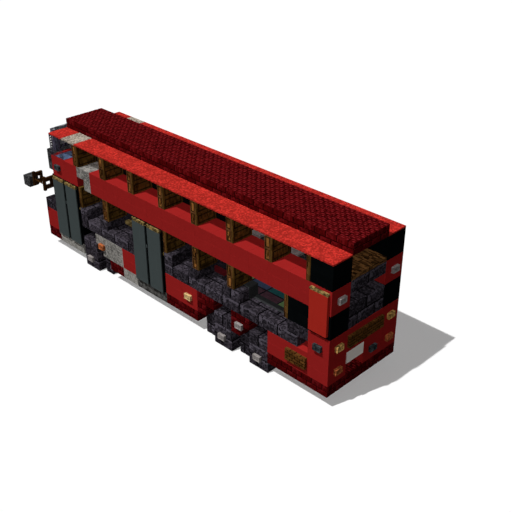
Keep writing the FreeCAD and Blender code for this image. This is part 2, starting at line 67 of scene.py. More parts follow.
bl_info = {
    "name": "Block-built double-decker bus",
    "version": (1, 0, 0),
    "blender": (4, 5, 0),
    "location": "3D View > Sidebar > Bus",
    "description": "Dresses the packed bus with bricks, boards, felt, doors, wheels and a small studio",
    "category": "Object",
}

ROOF_LOW, ROOF_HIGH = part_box("roof_slab")
BLOCK = (ROOF_HIGH.y - ROOF_LOW.y) / 2     # the roof slab is two blocks wide
ORIGIN = Vector((ROOF_LOW.x, 0.0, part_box("brick_skirts")[0].z))
FINE = 1 / 16                  # the fine step of the block pattern
BODY = "bus_body"
SLOTS = {row["node"]: row["material_slot"] for row in frame["record"]["subparts"]}
SIDES = (1, -1)                # left and right
AXES_OF_FACE = ((1, 2), (0, 2), (0, 1))    # along and up, for a face across x, y or z
MOSTLY_ALONG = 0.5             # a face looks mostly along an axis when its normal's share of it is larger
SQUARELY_ALONG = 0.9           # and squarely along it from this share on
STONE_JOINT = 1.6              # a stone's joint, in joints of the red bricks
SMALL_EDGE = 0.002             # the chamfer on thin and small pieces


def place(x, y, z):
    """A point of the block lattice in metres."""
    return ORIGIN + Vector((x, y, z)) * BLOCK


def in_blocks(point):
    return (point - ORIGIN) / BLOCK


def paint(red, green, blue):
    """A colour given as 0 to 255 in each channel, as the linear values that shaders use."""
    parts = (channel / 255 for channel in (red, green, blue))
    return tuple(c / 12.92 if c <= 0.04045 else ((c + 0.055) / 1.055) ** 2.4 for c in parts)


# ---- settings ----

class BusBrickSettings(bpy.types.PropertyGroup):
    joint: bpy.props.FloatProperty(
        name="Joint", description="Gap between two bricks", default=0.024, min=0, unit="LENGTH")
    bed: bpy.props.FloatProperty(
        name="Bed depth", description="How far the mortar lies behind the bricks", default=0.009, min=0,
        unit="LENGTH")
    uneven: bpy.props.FloatProperty(
        name="Unevenness", description="How far a brick may sit back", default=0.0025, min=0, unit="LENGTH")
    edge: bpy.props.FloatProperty(
        name="Chamfer", description="Width of the chamfer on every brick", default=0.005, min=0,
        unit="LENGTH")
    seed: bpy.props.IntProperty(name="Seed", description="Seed of the bricks' tones", default=3)


class BusTrimSettings(bpy.types.PropertyGroup):
    stile: bpy.props.FloatProperty(
        name="Stile", description="Width of the frame round a carved panel", default=0.042, unit="LENGTH")
    recess: bpy.props.FloatProperty(
        name="Recess", description="Depth of a carved panel", default=0.016, unit="LENGTH")
    edge: bpy.props.FloatProperty(
        name="Rounded edge", description="Chamfer on lamps, arms, bars and other small pieces",
        default=0.006, unit="LENGTH")
    pile: bpy.props.FloatProperty(
        name="Felt pile", description="Height of the felt's tufts", default=0.006, unit="LENGTH")
    treads: bpy.props.IntProperty(name="Tread blocks", description="Tread blocks round a tyre", default=44)
    studs: bpy.props.IntProperty(name="Wheel nuts", description="Nuts round a wheel disc", default=10)


class BusColourSettings(bpy.types.PropertyGroup):
    red: bpy.props.FloatVectorProperty(
        name="Body red", description="Paint of the body panels", subtype="COLOR", default=paint(157, 35, 34))
    brick: bpy.props.FloatVectorProperty(
        name="Brick", description="Dark red brick of roof and skirts", subtype="COLOR",
        default=paint(82, 10, 12))
    stone: bpy.props.FloatVectorProperty(
        name="Stone brick", description="Dark stone brick of waist and arches", subtype="COLOR",
        default=paint(48, 44, 50))
    felt: bpy.props.FloatVectorProperty(
        name="Felt", description="Red felt along the roof", subtype="COLOR", default=paint(179, 45, 38))
    slate: bpy.props.FloatVectorProperty(
        name="Door slate", description="Face of the door leaves", subtype="COLOR", default=paint(73, 81, 81))
    wood: bpy.props.FloatVectorProperty(
        name="Wood", description="Outer faces of the window posts", subtype="COLOR",
        default=paint(98, 64, 37))


class BusStageSettings(bpy.types.PropertyGroup):
    sun: bpy.props.FloatProperty(
        name="Sun", description="Strength of the sun lamp", default=2.5, min=0)
    sky: bpy.props.FloatProperty(
        name="Sky", description="Strength of the sky's light", default=0.03, min=0)
    fill: bpy.props.FloatProperty(
        name="Fill", description="Strength of the soft light that reaches every side", default=0.098, min=0)
    aim: bpy.props.FloatVectorProperty(
        name="Aim", description="Point that the camera looks at, in blocks", default=(5.610, 0.0, 2.864))
    azimuth: bpy.props.FloatProperty(
        name="Azimuth", description="Camera's place round the bus, from straight behind towards the left",
        default=math.radians(45), subtype="ANGLE")
    elevation: bpy.props.FloatProperty(
        name="Elevation", description="Camera's height angle", default=math.radians(29.5), subtype="ANGLE")
    distance: bpy.props.FloatProperty(
        name="Distance", description="From the camera to its aim, in blocks", default=33.0)
    field: bpy.props.FloatProperty(
        name="Field of view", description="Angle of view", default=math.radians(34.586), subtype="ANGLE")


class BusSettings(bpy.types.PropertyGroup):
    bricks: bpy.props.PointerProperty(type=BusBrickSettings, name="Bricks", description="Brickwork")
    trim: bpy.props.PointerProperty(type=BusTrimSettings, name="Trim", description="Small pieces")
    colours: bpy.props.PointerProperty(type=BusColourSettings, name="Colours", description="Main colours")
    stage: bpy.props.PointerProperty(type=BusStageSettings, name="Stage", description="Camera and light")


# ---- node trees ----

class Nodes:
    """Short calls that build a node tree."""

    MIX_SOCKETS = {"FLOAT": (2, 3, 0), "VECTOR": (4, 5, 1), "RGBA": (6, 7, 2)}

    def __init__(self, tree):
        self.tree = tree

    def feed(self, node, inputs):
        """Links or sets a node's inputs, given by their names or numbers."""
        for key, value in inputs.items():
            if isinstance(value, bpy.types.NodeSocket):
                self.tree.links.new(value, node.inputs[key])
            else:
                node.inputs[key].default_value = value

    def add(self, kind, inputs=None, **settings):
        node = self.tree.nodes.new(kind)
        for key, value in settings.items():
            setattr(node, key, value)
        self.feed(node, inputs or {})
        return node

    def math(self, operation, *values):
        return self.add("ShaderNodeMath", dict(enumerate(values)), operation=operation).outputs[0]

    times = functools.partialmethod(math, "MULTIPLY")
    times_plus = functools.partialmethod(math, "MULTIPLY_ADD")
    per = functools.partialmethod(math, "DIVIDE")
    minus = functools.partialmethod(math, "SUBTRACT")
    over = functools.partialmethod(math, "GREATER_THAN")
    under = functools.partialmethod(math, "LESS_THAN")
    most = functools.partialmethod(math, "MAXIMUM")
    part = functools.partialmethod(math, "FRACT")

    def vector(self, operation, *values):
        return self.add("ShaderNodeVectorMath", dict(enumerate(values)), operation=operation).outputs[0]

    def mix(self, factor, first, second, kind="RGBA", blend="MIX"):
        a, b, out = self.MIX_SOCKETS[kind]
        node = self.add("ShaderNodeMix", data_type=kind, blend_type=blend)
        self.feed(node, {0: factor, a: first, b: second})
        return node.outputs[out]

    def split(self, value):
        return self.add("ShaderNodeSeparateXYZ", {0: value}).outputs

    def combine(self, x, y, z):
        return self.add("ShaderNodeCombineXYZ", {0: x, 1: y, 2: z}).outputs[0]


def face_pattern():
    """A shader group: the place on a flat face in blocks, which faces are chamfers and whether it lies level.
    """
    if "face_pattern" in bpy.data.node_groups:
        return bpy.data.node_groups["face_pattern"]
    snap_shift = 0.013         # keeps a flat face away from the edges of the pattern's cells
    square_on = 0.6            # the share of a normal along y or z from which a face belongs to that axis
    slanted = 0.93             # a chamfer's normal has no share as large as this
    tree = bpy.data.node_groups.new("face_pattern", "ShaderNodeTree")
    for label, kind in (("Face", "Vector"), ("Chamfer", "Float"), ("Level", "Float")):
        tree.interface.new_socket(label, in_out="OUTPUT", socket_type="NodeSocket" + kind)
    n = Nodes(tree)
    source = n.add("ShaderNodeTexCoord").outputs
    blocks = n.add("ShaderNodeMapping", {
        "Vector": source["Object"], "Location": [snap_shift - value / BLOCK for value in ORIGIN],
        "Scale": [1 / BLOCK] * 3}).outputs[0]
    x, y, z = n.split(blocks)
    facing = n.split(n.vector("ABSOLUTE", source["Normal"]))
    level = n.over(facing[2], square_on)
    face = n.mix(n.over(facing[1], square_on), n.combine(y, z, x), n.combine(x, z, y), "VECTOR")
    face = n.mix(level, face, n.combine(x, y, z), "VECTOR")
    most = n.most(n.most(facing[0], facing[1]), facing[2])
    n.add("NodeGroupOutput", {"Face": face, "Chamfer": n.under(most, slanted), "Level": level})
    return tree


def painted_brick_highlights(n, face, level, tone, fine, length, height, deep, start, streaks):
    """How strongly the painted highlight on a brick's upper edge and end shows, 0 elsewhere.

    The highlight is partly the brick's own paler edge and partly painted light: it is stronger on level
    faces than on upright ones. deep is how far down the light edge reaches, as a share of the course, and
    start the share of the edge that stays plain. streaks adds upright strokes of highlight on every other
    course; without them level faces stay plain. Level faces show the edges twice as close together, in
    both directions, and clear of the joints.
    """
    end_start, end_deep = 0.8, 0.6
    stroke_start = 0.66
    dull_tone, dull_cell = 0.35, 0.15      # bricks and cells below these shares of tone stay plain
    closer = n.math("ADD", level, 1.0)
    upright = n.minus(1.0, level)
    along, up, _ = n.split(n.vector("MULTIPLY", face, n.combine(closer, closer, 1.0)))
    course = n.per(up, height)
    row = n.math("FLOOR", course)
    part = n.part(n.times_plus(row, 0.5, n.per(along, length)))
    edge = n.times_plus(level, -0.5, 1.0)
    drop = n.times(n.math("ABSOLUTE", n.minus(n.part(course), edge)), closer)
    top = n.times(n.under(drop, deep), n.over(part, start))
    end = n.times(n.over(part, end_start), n.under(drop, end_deep))
    lit = n.most(top, end)
    if streaks:
        stroke = n.over(n.part(n.per(along, length / 2)), stroke_start)
        odd_row = n.math("MODULO", n.math("ABSOLUTE", row), 2.0)
        lit = n.most(lit, n.times(stroke, n.times(odd_row, upright)))
    else:
        lit = n.times(lit, upright)
    plain_share = n.times_plus(level, -0.36, dull_tone)
    some = n.times(n.over(tone, plain_share), n.over(fine, dull_cell))
    # painted highlight: level faces get it more strongly than upright ones
    strength = n.times_plus(level, 0.4, 0.35)
    return n.times(n.times(lit, some), strength)


def cell_noise(n, face, cell):
    """One random value for each cell of a face; cell is (along, up) in blocks."""
    snapped = n.vector("SNAP", face, (*cell, FINE))
    return n.add("ShaderNodeTexWhiteNoise", {"Vector": snapped}, noise_dimensions="3D").outputs["Value"]


def look(name):
    """A finish by its name."""
    return bpy.data.materials["bus_" + name]


def new_material(name):
    """A new material as its node builder and its shader."""
    material = bpy.data.materials.new(name)
    material.use_nodes = True
    return Nodes(material.node_tree), material.node_tree.nodes["Principled BSDF"]


def finish(name, base, shades, cell=(FINE, FINE), patch=(0.25, 0.25), weights=(0.6, 0.25, 0.15), rough=0.9,
           specular=0.0, relief=0.0015, grain=120.0, edge=1.3, painted_glow=0.0, metal=0.0, painted_highlights=None):
    """A block finish: cells of tone in three shades of one colour, a fine grain, and chamfers scaled by edge.

    weights are the shares of fine cells, larger patches and the piece's own tone attribute.
    painted_highlights is (length, height, deep, start, streaks, colour) for bricks whose upper edge
    and end carry a painted highlight, partly their own paler edge.
    """
    n, shader = new_material("bus_" + name)
    face, on_chamfer, level = n.add("ShaderNodeGroup", node_tree=face_pattern()).outputs
    fine = cell_noise(n, face, cell)
    wide = cell_noise(n, face, patch)
    tone = n.add("ShaderNodeAttribute", attribute_name="tone").outputs["Fac"]
    value = n.times(fine, weights[0])
    value = n.times_plus(wide, weights[1], value)
    value = n.times_plus(tone, weights[2], value)
    ramp = n.add("ShaderNodeValToRGB", {"Fac": value})
    stops = ramp.color_ramp.elements
    stops[0].position, stops[1].position = 0.12, 0.88
    stops.new(0.5)
    for stop, shade in zip(sorted(stops, key=lambda s: s.position), shades):
        stop.color = (*[min(1.0, c * shade) for c in base], 1)
    shaded = ramp.outputs["Color"]
    # chamfer faces are drawn lighter where edge is above 1
    colour = n.mix(on_chamfer, shaded, n.mix(1.0, shaded, (edge, edge, edge, 1), blend="MULTIPLY"))
    # painted highlights on the bricks' upper edges and ends
    if painted_highlights:
        *course, light = painted_highlights
        colour = n.mix(painted_brick_highlights(n, face, level, tone, fine, *course), colour, (*light, 1))
    position = n.add("ShaderNodeTexCoord").outputs["Object"]
    specks = n.add("ShaderNodeTexNoise", {"Vector": position, "Scale": grain, "Detail": 3.0})
    height = n.times_plus(specks.outputs["Fac"], 0.5, fine)
    bump = n.add("ShaderNodeBump", {"Height": height, "Strength": 0.5, "Distance": relief})
    n.feed(shader, {"Base Color": colour, "Normal": bump.outputs["Normal"], "Roughness": rough,
                    "Specular IOR Level": specular, "Metallic": metal})
    # painted light: the finish glows a little though the piece is no lamp
    if painted_glow:
        n.feed(shader, {"Emission Color": colour, "Emission Strength": painted_glow})


def glass_finish(name, tint, light, clear, streaked):
    """Tinted sheet glass with upright streaks; clear and streaked are how much each part hides."""
    n, shader = new_material("bus_" + name)
    face = n.add("ShaderNodeGroup", node_tree=face_pattern()).outputs[0]
    plain_streaks, plain_flecks = 0.6, 0.82    # the shares of the glass without them
    streaks = n.over(cell_noise(n, face, (FINE, 1.0)), plain_streaks)
    flecks = n.over(cell_noise(n, face, (FINE, FINE)), plain_flecks)
    shown = n.most(streaks, flecks)
    n.feed(shader, {"Base Color": n.mix(shown, (*tint, 1), (*light, 1)), "Roughness": 0.3,
                    "Alpha": n.times_plus(shown, streaked - clear, clear), "Specular IOR Level": 0.0})


def geometry_tree(name, inputs):
    """A Geometry Nodes tree; inputs are rows of (name, kind, default), besides its geometry and material."""
    tree = bpy.data.node_groups.new(name, "GeometryNodeTree")
    tree.interface.new_socket("Geometry", in_out="INPUT", socket_type="NodeSocketGeometry")
    for label, kind, default in inputs:
        socket = tree.interface.new_socket(label, in_out="INPUT", socket_type="NodeSocket" + kind)
        socket.default_value = default
    tree.interface.new_socket("Material", in_out="INPUT", socket_type="NodeSocketMaterial")
    tree.interface.new_socket("Geometry", in_out="OUTPUT", socket_type="NodeSocketGeometry")
    n = Nodes(tree)
    return n, n.add("NodeGroupInput").outputs


def close_tree(n, source, instances):
    """Gives every instance a tone, makes them real and sets their material."""
    random = n.add("FunctionNodeRandomValue", {8: source["Seed"]}, data_type="FLOAT").outputs[1]
    toned = n.add("GeometryNodeStoreNamedAttribute", {"Geometry": instances, "Name": "tone", "Value": random},
                  data_type="FLOAT", domain="INSTANCE").outputs[0]
    real = n.add("GeometryNodeRealizeInstances", {0: toned}).outputs[0]
    dressed = n.add("GeometryNodeSetMaterial", {"Geometry": real, "Material": source["Material"]}).outputs[0]
    n.add("NodeGroupOutput", {0: dressed})


def laid_pieces_tree():
    """Bricks, boards or tiles: one box on every point, of the size the point carries, less the joint."""
    n, source = geometry_tree("laid_pieces", (
        ("Joint", "Float", 0.007), ("Unevenness", "Float", 0.0025), ("Seed", "Int", 3)))
    size, out = (
        n.add("GeometryNodeInputNamedAttribute", {"Name": label}, data_type="FLOAT_VECTOR").outputs[0]
        for label in ("size", "out"))
    in_plane = n.vector("SUBTRACT", (1, 1, 1), n.vector("ABSOLUTE", out))
    joint = n.combine(source["Joint"], source["Joint"], source["Joint"])
    size = n.vector("SUBTRACT", size, n.vector("MULTIPLY", in_plane, joint))
    back = n.add("FunctionNodeRandomValue", {2: 0.0, 3: source["Unevenness"], 8: source["Seed"]},
                 data_type="FLOAT").outputs[1]
    away = n.vector("MULTIPLY", out, n.combine(back, back, back))
    moved = n.add("GeometryNodeSetPosition", {
        "Geometry": source["Geometry"], "Offset": n.vector("MULTIPLY", away, (-1, -1, -1))}).outputs[0]
    cube = n.add("GeometryNodeMeshCube").outputs[0]
    laid = n.add("GeometryNodeInstanceOnPoints", {
        "Points": moved, "Instance": cube, "Scale": size}).outputs[0]
    close_tree(n, source, laid)


def ring_tree():
    """Boxes spaced round the y axis, such as tread blocks or wheel nuts."""
    n, source = geometry_tree("ring_pieces", (
        ("Count", "Int", 40), ("Radius", "Float", 0.3), ("Piece size", "Vector", (0.03, 0.1, 0.02)),
        ("Centre", "Vector", (0, 0, 0)), ("Start angle", "Float", 0.0), ("Seed", "Int", 5)))
    index = n.add("GeometryNodeInputIndex").outputs[0]
    angle = n.times_plus(index, n.per(math.tau, source["Count"]), source["Start angle"])
    spot = n.combine(n.times(n.math("SINE", angle), source["Radius"]), 0.0,
                     n.times(n.math("COSINE", angle), source["Radius"]))
    points = n.add("GeometryNodePoints", {
        "Count": source["Count"], "Position": n.vector("ADD", spot, source["Centre"])}).outputs[0]
    cube = n.add("GeometryNodeMeshCube").outputs[0]
    ring = n.add("GeometryNodeInstanceOnPoints", {
        "Points": points, "Instance": cube, "Rotation": n.combine(0.0, angle, 0.0),
        "Scale": source["Piece size"]}).outputs[0]
    close_tree(n, source, ring)


# ---- meshes ----

def from_bmesh(name, bm, finishes):
    """A new object made of a mesh under construction, with its finishes by name."""
    mesh = bpy.data.meshes.new(name)
    bm.to_mesh(mesh)
    bm.free()
    for finish_name in finishes:
        mesh.materials.append(look(finish_name))
    return new_object(name, mesh)


def new_object(name, mesh):
    piece = bpy.data.objects.new(name, mesh)
    bpy.context.scene.collection.objects.link(piece)
    return piece


def settle(piece):
    """Turns a piece with modifiers into a plain mesh."""
    whole = piece.evaluated_get(bpy.context.evaluated_depsgraph_get())
    mesh = bpy.data.meshes.new_from_object(whole)
    piece.modifiers.clear()
    piece.data = mesh
    return piece


def chamfer(piece, width):
    bevel = piece.modifiers.new("edge", "BEVEL")
    bevel.width = width
    bevel.segments = 1
    bevel.limit_method = "ANGLE"
    return settle(piece)


def softened(name, bm, finishes, edge):
    """A chamfered piece."""
    return chamfer(from_bmesh(name, bm, finishes), edge)


def grown(piece, tree, values, edge):
    """Runs a Geometry Nodes tree on a piece, chamfers it and keeps the result as a plain mesh."""
    nodes = piece.modifiers.new("nodes", "NODES")
    nodes.node_group = bpy.data.node_groups[tree]
    for item in nodes.node_group.interface.items_tree:
        if item.item_type == "SOCKET" and item.in_out == "INPUT" and item.name in values:
            nodes[item.identifier] = values[item.name]
    return chamfer(piece, edge)


def merged_with(piece, others):
    """Joins other objects into a piece."""
    for thing in bpy.context.scene.objects:
        thing.select_set(thing is piece or thing in others)
    bpy.context.view_layer.objects.active = piece
    with bpy.context.temp_override(active_object=piece, selected_editable_objects=[piece, *others],
                                   selected_objects=[piece, *others], object=piece):
        bpy.ops.object.join()
    return piece


def keep(piece, *nodes, body=BODY, slot=None):
    """Says what a finished piece rides on and hides the CAD nodes that it stands for."""
    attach(piece, body)
    slot or SLOTS[nodes[0]]
    if nodes:
        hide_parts(*nodes)


def solid_copy(node):
    """The mesh of a CAD node with its loose triangles merged into flat faces."""
    bm = bmesh.new()
    bm.from_mesh(frame["nodes"][node].data)
    bmesh.ops.remove_doubles(bm, verts=bm.verts, dist=1e-5)
    bmesh.ops.dissolve_limit(bm, angle_limit=math.radians(1), verts=bm.verts, edges=bm.edges)
    bm.normal_update()
    return bm


def boxes(*corners):
    """A mesh of boxes, each between two points of the lattice."""
    bm = bmesh.new()
    for low, high in corners:
        low, high = place(*low), place(*high)
        size = high - low
        for vertex in bmesh.ops.create_cube(bm, size=1.0)["verts"]:
            vertex.co = low + Vector((vertex.co[k] + 0.5) * size[k] for k in range(3))
    bm.normal_update()
    return bm


def side_box(sign, x, y, z):
    """The corners of a box given by its reach along each axis, mirrored to the right when sign is -1."""
    near, far = sorted((sign * y[0], sign * y[1]))
    return (x[0], near, z[0]), (x[1], far, z[1])


def cut(bm, axis, value):
    """Cuts a mesh across one axis at a place in metres, so that a face that reaches over it becomes two."""
    spot, across = Vector(), Vector()
    spot[axis], across[axis] = value, 1
    everything = bm.verts[:] + bm.edges[:] + bm.faces[:]
    bmesh.ops.bisect_plane(bm, geom=everything, plane_co=spot, plane_no=across)


def sink(bm, faces, rim, slope, depth):
    """Sets the middle of each face back behind a rim."""
    bmesh.ops.inset_individual(bm, faces=faces, thickness=rim, depth=0.0)
    bmesh.ops.inset_individual(bm, faces=faces, thickness=slope, depth=-depth)


def carve(bm, faces, stile, recess, field=None, groove=None):
    """Sinks a framed panel into each face; groove and field number their own materials."""
    slope, border, rise = stile * 0.25, stile * 0.5, recess * 0.7
    for thickness, depth, tint in ((stile, 0.0, None), (slope, -recess, groove), (border, 0.0, groove),
                                   (slope, rise, groove)):
        ring = bmesh.ops.inset_individual(bm, faces=faces, thickness=thickness, depth=depth,
                                          use_even_offset=True)["faces"]
        if tint is not None:
            for face in ring:
                face.material_index = tint
    if field is not None:
        for face in faces:
            face.material_index = field


def largest(bm, share):
    """The faces whose area is more than a share of the largest one's."""
    most = max(face.calc_area() for face in bm.faces)
    return [face for face in bm.faces if face.calc_area() > share * most]


def shrink(bm, depth):
    """Moves every face of a square-cornered mesh inwards by depth."""
    moves = []
    for vertex in bm.verts:
        sides = {tuple(round(c) for c in face.normal) for face in vertex.link_faces}
        moves.append((vertex, sum((Vector(side) for side in sides), Vector())))
    for vertex, out in moves:
        vertex.co -= out * depth


def inside(points, u, v):
    """Whether (u, v) lies inside a polygon."""
    odd = False
    for (u0, v0), (u1, v1) in zip(points, points[1:] + points[:1]):
        if (v0 > v) != (v1 > v) and u < (u1 - u0) * (v - v0) / (v1 - v0) + u0:
            odd = not odd
    return odd


def bricks_on_face(face, length, height, bond, reach):
    """Rows of (rectangle in blocks, axis across, axis along, axis up) that cover one flat face.

    The face is split into cells of a quarter block or a course, and each brick takes the cells it lies over.
    reach is how far a brick grows past an edge of the face, so that only the joints between bricks are open.
    """
    cell = min(0.25, height)
    step = 0.02                # how far past a brick's edge it is tested whether the face goes on
    slack = 1e-4
    axis = max(range(3), key=lambda k: abs(face.normal[k]))
    along, up = AXES_OF_FACE[axis]
    points = [(in_blocks(v.co)[along], in_blocks(v.co)[up]) for v in face.verts]
    low = [min(p[k] for p in points) for k in (0, 1)]
    high = [max(p[k] for p in points) for k in (0, 1)]
    columns, rows_of_cells = (range(math.floor(low[k] / cell + slack), math.ceil(high[k] / cell - slack))
                              for k in (0, 1))
    bricks = {}
    for j in rows_of_cells:
        for i in columns:
            u = (max(i * cell, low[0]), min((i + 1) * cell, high[0]))
            v = (max(j * cell, low[1]), min((j + 1) * cell, high[1]))
            if not inside(points, sum(u) / 2, sum(v) / 2):
                continue
            row = math.floor((j + 0.5) * cell / height)
            number = math.floor(((i + 0.5) * cell + (row % 2) * length * bond) / length)
            bricks.setdefault((row, number), {}).setdefault(j, []).append((u, v))
    for rows in bricks.values():
        counts = {len(cells) for cells in rows.values()}
        groups = [sum(rows.values(), [])] if len(counts) == 1 else list(rows.values())
        for cells in groups:
            u0, u1 = min(c[0][0] for c in cells), max(c[0][1] for c in cells)
            v0, v1 = min(c[1][0] for c in cells), max(c[1][1] for c in cells)
            u, v = (u0 + u1) / 2, (v0 + v1) / 2
            grow = [0 if inside(points, *spot) else reach for spot in (
                (u0 - step, v), (u1 + step, v), (u, v0 - step), (u, v1 + step))]
            yield (u0 - grow[0], u1 + grow[1], v0 - grow[2], v1 + grow[3]), axis, along, up


class Laying:
    """Points that carry the size and the outward direction of the pieces laid on them."""

    def __init__(self):
        self.places, self.sizes, self.outs = [], [], []

    def add(self, spot, size, out):
        self.places.append(spot)
        self.sizes.append(size)
        self.outs.append(out)

    def cover(self, face, size, bond, thick, reach):
        """Lays pieces over one flat face."""
        plane = face.verts[0].co
        for (u0, u1, v0, v1), axis, along, up in bricks_on_face(face, *size, bond, reach / BLOCK):
            sign = 1 if face.normal[axis] > 0 else -1
            spot, reach_of, out = Vector(), Vector(), Vector()
            spot[along] = ORIGIN[along] + (u0 + u1) / 2 * BLOCK
            spot[up] = ORIGIN[up] + (v0 + v1) / 2 * BLOCK
            spot[axis] = plane[axis] - sign * thick / 2
            reach_of[along], reach_of[up], reach_of[axis] = (u1 - u0) * BLOCK, (v1 - v0) * BLOCK, thick
            out[axis] = sign
            self.add(spot, reach_of, out)

    def made(self, name, finish_name, joint=0.0, uneven=0.0, edge=SMALL_EDGE, seed=3):
        """The laid pieces as a plain mesh."""
        mesh = bpy.data.meshes.new(name)
        mesh.from_pydata(self.places, [], [])
        for label, rows in (("size", self.sizes), ("out", self.outs)):
            layer = mesh.attributes.new(label, "FLOAT_VECTOR", "POINT")
            layer.data.foreach_set("vector", [c for row in rows for c in row])
        return grown(new_object(name, mesh), "laid_pieces", {
            "Joint": joint, "Unevenness": uneven, "Seed": seed, "Material": look(finish_name)}, edge)


def laid_over(name, meshes, finish_name, bed_finish, size, bond=0.5, thick=0.022, joint=0.024, bed=0.009,
              uneven=0.0025, edge=0.004, seed=3):
    """Bricks, boards or panels laid over every flat face of square-cornered meshes, on a set-back bed.

    size is a piece's length and height in blocks, and bond how far every other course is shifted, in pieces.
    """
    past_edge = joint / 2 - 0.0015         # bricks end just short of the wall's own edges
    laying = Laying()
    beds = []
    for bm in meshes:
        for face in bm.faces:
            laying.cover(face, size, bond, thick, past_edge)
        shrink(bm, bed)
        beds.append(from_bmesh(name + "_bed", bm, [bed_finish]))
    return merged_with(laying.made(name, finish_name, joint, uneven, edge, seed), beds)


def cover_nodes(name, nodes, *finishes_and_size, **settings):
    """Lays pieces over CAD nodes that belong to the body, and keeps them in the nodes' place."""
    meshes = [solid_copy(node) for node in nodes]
    keep(laid_over(name, meshes, *finishes_and_size, **settings), *nodes)


def brick_settings(context, joints=1.0):
    """The brickwork settings as laid_over takes them, with the joint widened by a factor."""
    b = context.scene.bus.bricks
    return {"joint": b.joint * joints, "bed": b.bed, "uneven": b.uneven, "edge": b.edge, "seed": b.seed}


STONES = ("stone_brick", "stone_mortar", (1.0, 0.5))
THIN_STONES = {"thick": 0.008, "bed": 0.003, "uneven": 0.001, "edge": SMALL_EDGE}    # for the wheel covers


# ---- finishes ----

FLAT = {"weights": (0.3, 0.4, 0.3), "relief": 0.0004, "edge": 1.1}
CLOUDY = {"weights": (0.65, 0.35, 0.0)}
MOTTLED = {"weights": (0.7, 0.3, 0.0)}
SPECKLED = {"weights": (0.8, 0.2, 0.0)}
UPRIGHT_GRAIN = {"cell": (FINE, 4 * FINE)}
LYING_GRAIN = {"cell": (4 * FINE, FINE)}


def paint_finishes(c):
    """Painted panels, door faces and plates."""
    red = tuple(c.red)
    finish("red_paint", red, (0.97, 1.0, 1.03), rough=0.8, **FLAT)
    finish("red_seam", red, (0.8, 0.85, 0.9), rough=0.8)
    finish("black", paint(8, 11, 12), (0.8, 1.0, 1.2), rough=0.7, **FLAT)
    finish("slate", tuple(c.slate), (0.97, 1.0, 1.03), rough=0.8, **FLAT)
    finish("banner", paint(178, 44, 34), (0.98, 1.0, 1.02), rough=0.9, **FLAT)
    # the blank plates glow faintly: painted light that keeps them pale in the shade
    finish("pale_plate", paint(240, 233, 225), (0.98, 1.0, 1.01), rough=0.5, painted_glow=0.035, **FLAT)
    finish("charcoal", paint(50, 50, 51), (0.2, 1.0, 3.0), edge=1.6, **MOTTLED)
    finish("tan", paint(116, 97, 58), (0.2, 1.0, 2.4), **SPECKLED)


def stone_finishes(c):
    """Bricks, stones and their mortar."""
    brick, stone = tuple(c.brick), tuple(c.stone)
    # the red bricks and the stones both carry painted highlights on their upper edges and ends
    finish("dark_red_brick", brick, (0.5, 0.92, 1.3), weights=(0.6, 0.1, 0.3), edge=1.0,
           painted_highlights=(0.5, 0.25, 0.36, 0.42, True, paint(134, 33, 38)))
    finish("brick_mortar", brick, (0.12, 0.2, 0.3), edge=1.0)
    finish("stone_brick", stone, (0.35, 1.0, 2.5), patch=(0.25, 0.125), weights=(0.75, 0.05, 0.2),
           edge=1.0, painted_highlights=(1.0, 0.5, 0.2, 0.0, False, paint(130, 122, 136)))
    finish("stone_mortar", stone, (0.03, 0.06, 0.1), edge=1.0)
    finish("light_stone", paint(137, 134, 129), (0.45, 1.0, 1.65), **CLOUDY)
    # the sills' stone is a lighter copy of light_stone: partly their own paler stone, partly painted light
    # that lifts them out of the door leaves' shade
    finish("sill_stone", paint(156, 153, 147), (0.62, 1.0, 1.4), **CLOUDY)
    finish("patterned_stone", paint(79, 78, 76), (0.4, 1.0, 1.8), patch=(0.125, 0.125),
           weights=(0.5, 0.5, 0.0))


def wood_finishes(c):
    """Posts, signs, arms and the gaps between boards."""
    finish("dark_wood", paint(92, 67, 29), (0.4, 1.0, 1.5), edge=1.2, **UPRIGHT_GRAIN, **MOTTLED)
    finish("brown_wood", tuple(c.wood), (0.45, 1.0, 1.6), edge=1.2, **UPRIGHT_GRAIN, **MOTTLED)
    # bright_wood lightens the posts' outer fields and groove_wood darkens the carved grooves: partly the
    # wood's own lines, partly painted light and shade, since the carving shows little under the shadowless
    # fill
    finish("bright_wood", paint(132, 86, 42), (0.35, 1.0, 1.6), **UPRIGHT_GRAIN, **MOTTLED)
    finish("post_wood", paint(88, 62, 28), (0.5, 1.0, 1.4), **UPRIGHT_GRAIN, **MOTTLED)
    finish("groove_wood", paint(52, 34, 14), (0.4, 0.9, 1.3), **UPRIGHT_GRAIN)
    finish("arm_wood", paint(58, 36, 16), (0.4, 1.0, 1.7), edge=1.5, **MOTTLED)
    finish("sign_wood", paint(94, 60, 27), (0.5, 1.0, 1.5), weights=(0.5, 0.2, 0.3), **LYING_GRAIN)
    finish("sign_gap", paint(30, 16, 4), (0.5, 0.7, 0.9), **LYING_GRAIN)
    finish("shelf_wood", paint(98, 67, 37), (0.15, 1.0, 2.0), cell=(3 * FINE, FINE),
           weights=(0.75, 0.15, 0.1))
    finish("wood_gap", paint(38, 22, 8), (0.5, 0.7, 0.9), **LYING_GRAIN)


def soft_finishes(c):
    """Felt and seat cloth."""
    finish("red_felt", tuple(c.felt), (0.72, 0.95, 1.5), rough=1.0, relief=0.004, **SPECKLED)
    finish("pale_felt", paint(168, 156, 142), (0.35, 1.0, 1.5), rough=1.0, relief=0.004, **SPECKLED)
    finish("seat_cloth", paint(48, 48, 54), (0.8, 1.0, 1.25), cell=(FINE / 4, FINE / 4), grain=900.0,
           rough=1.0)


